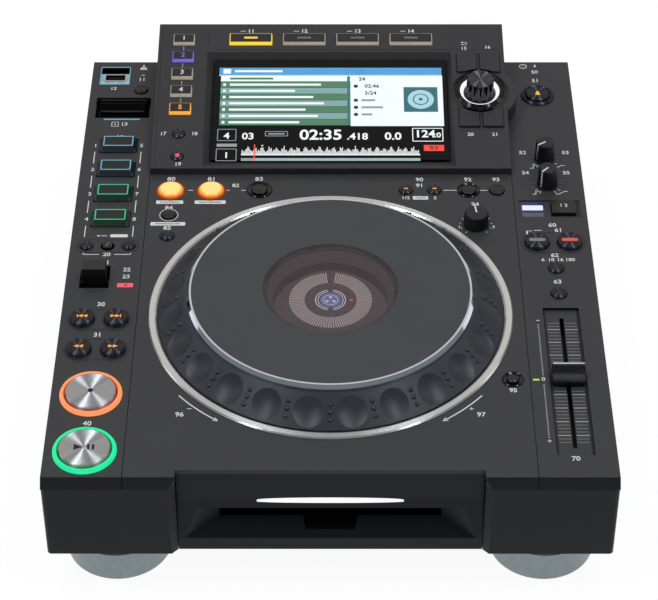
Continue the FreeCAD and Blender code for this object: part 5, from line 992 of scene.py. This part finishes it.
# The round display in the middle of the jog wheel, under its window.
SEGMENTS, DIAL_GAP, SEGMENT_SHARE, THIN = 96, 12, 0.62, 0.03
segment = (360 - DIAL_GAP) / SEGMENTS
dial = Shape()
for k in range(SEGMENTS):
    start = 90 + DIAL_GAP / 2 + k * segment
    dial.slab(sector(15.4, 24.6, start, start + segment * SEGMENT_SHARE, steps=1), dial_segments)
dial.band(circle(14.4, 0, 64), circle(9.6, 0, 64), dial_dark)
for inner, outer in ((8.6, 9.2), (7.2, 7.7)):
    for start, end in ((100, 260), (280, 440)):
        dial.slab(sector(inner, outer, start, end), dial_white)
dial.turned([(6.3, SUNK), (6.3, INK)], dial_blue)
dial.band(circle(4.6, 0), circle(4.2, 0), dial_white, INK, INK + THIN)
for turn in (0, 120, 240):
    dial.slab(sector(1.2, 3.4, turn + 70, turn + 110, steps=6), dial_white, INK, INK + THIN)
dial.slab(sector(11.2, 13.2, -4, 4, steps=4), red_light, 0, INK + THIN)
dial.piece("jog_dial_picture", "base", "display_glass", at=(*JOG, 9))


# Floor, light and camera

def studio_floor():
    """A white floor that shows as white, and keeps the soft shadow under the player."""
    reach, glow_strength, glow_share = 12, 1.06, 0.88
    sheet = bpy.data.meshes.new("studio_floor")
    sheet.from_pydata([(-reach, -reach, 0), (reach, -reach, 0), (reach, reach, 0), (-reach, reach, 0)],
                      [], [(0, 1, 2, 3)])
    floor = bpy.data.objects.new("studio_floor", sheet)
    bpy.context.scene.collection.objects.link(floor)
    paper, tree, spot = new_finish("white_paper_floor")
    tint = patchy(tree, spot, "#f4f4f4", "#f8f8f8", 400)
    matt = add(tree, "BsdfDiffuse", {"Color": tint})
    glow = add(tree, "Emission", {"Color": (1, 1, 1, 1), "Strength": glow_strength})
    path = add(tree, "LightPath")
    seen = add(tree, "Math", {0: path.outputs["Is Camera Ray"], 1: path.outputs["Is Glossy Ray"]})
    seen = add(tree, "Math", {0: seen.outputs[0], 1: path.outputs["Is Transmission Ray"]}, use_clamp=True)
    share = add(tree, "Math", {0: seen.outputs[0], 1: glow_share}, operation="MULTIPLY")
    both = add(tree, "MixShader", {0: share.outputs[0], 1: matt.outputs[0], 2: glow.outputs[0]})
    add(tree, "OutputMaterial", {"Surface": both.outputs[0]})
    sheet.materials.append(paper)


def softbox(name, place, aim, width, height, radiance, tint, turn=0):
    """A square lamp of an even brightness, aimed at a point and turned about its own axis."""
    lamp = bpy.data.lights.new(name, "AREA")
    lamp.shape, lamp.size, lamp.size_y = "RECTANGLE", width, height
    lamp.energy = radiance * math.pi * width * height
    lamp.color = colour(tint)[:3]
    held = bpy.data.objects.new(name, lamp)
    bpy.context.scene.collection.objects.link(held)
    held.location = place
    aimed = (Vector(aim) - Vector(place)).to_track_quat("-Z", "Y").to_matrix()
    held.rotation_euler = (aimed @ Matrix.Rotation(math.radians(turn), 3, "Z")).to_euler()


studio_floor()
softbox("softbox_behind", (0, 2.2, 1.9), (0, 0, 0.1), 3.4, 1.7, 0.55, "#fff4e6")
softbox("softbox_front", (0, -2.8, 0.9), (0, 0, 0.05), 2.4, 0.6, 0.5, "#dfe8ff")
# Two slanted strips overhead give every spun top its cross of light.
for name, side in (("left", -1), ("right", 1)):
    softbox(f"strip_{name}", (side, -0.385, 2.1), (side, -0.385, 0), 2.3, 0.24, 10.5, "#f6f9ff", -side * 60)
    softbox(f"softbox_{name}", (side * 2.1, 0.4, 1.1), (0, 0, 0.1), 0.6, 1.2, 1.2, "#f6faff")

room = bpy.data.worlds.new("studio_room")
bpy.context.scene.world = room
room.use_nodes = True
room.node_tree.nodes.clear()
dim = add(room.node_tree, "Background", {"Color": colour("#ffffff"), "Strength": 0.22})
add(room.node_tree, "OutputWorld", {"Surface": dim.outputs[0]})

bpy.context.scene.view_settings.view_transform = "Standard"
eye = bpy.data.cameras.new("camera")
SENSOR, FOCAL_PX, PICTURE_PX, DOWN = 36, 2351.387, 658, 41.305
eye.sensor_width = SENSOR
eye.lens = FOCAL_PX / PICTURE_PX * SENSOR
viewpoint = bpy.data.objects.new("camera", eye)
bpy.context.scene.collection.objects.link(viewpoint)
viewpoint.matrix_world = (Matrix.Translation((0.001844, -1.10654, 1.01458))
                          @ Matrix.Rotation(math.radians(0.15), 4, "Z")
                          @ Matrix.Rotation(math.radians(90 - DOWN), 4, "X")
                          @ Matrix.Rotation(math.radians(-0.092), 4, "Z"))
bpy.context.scene.camera = viewpoint
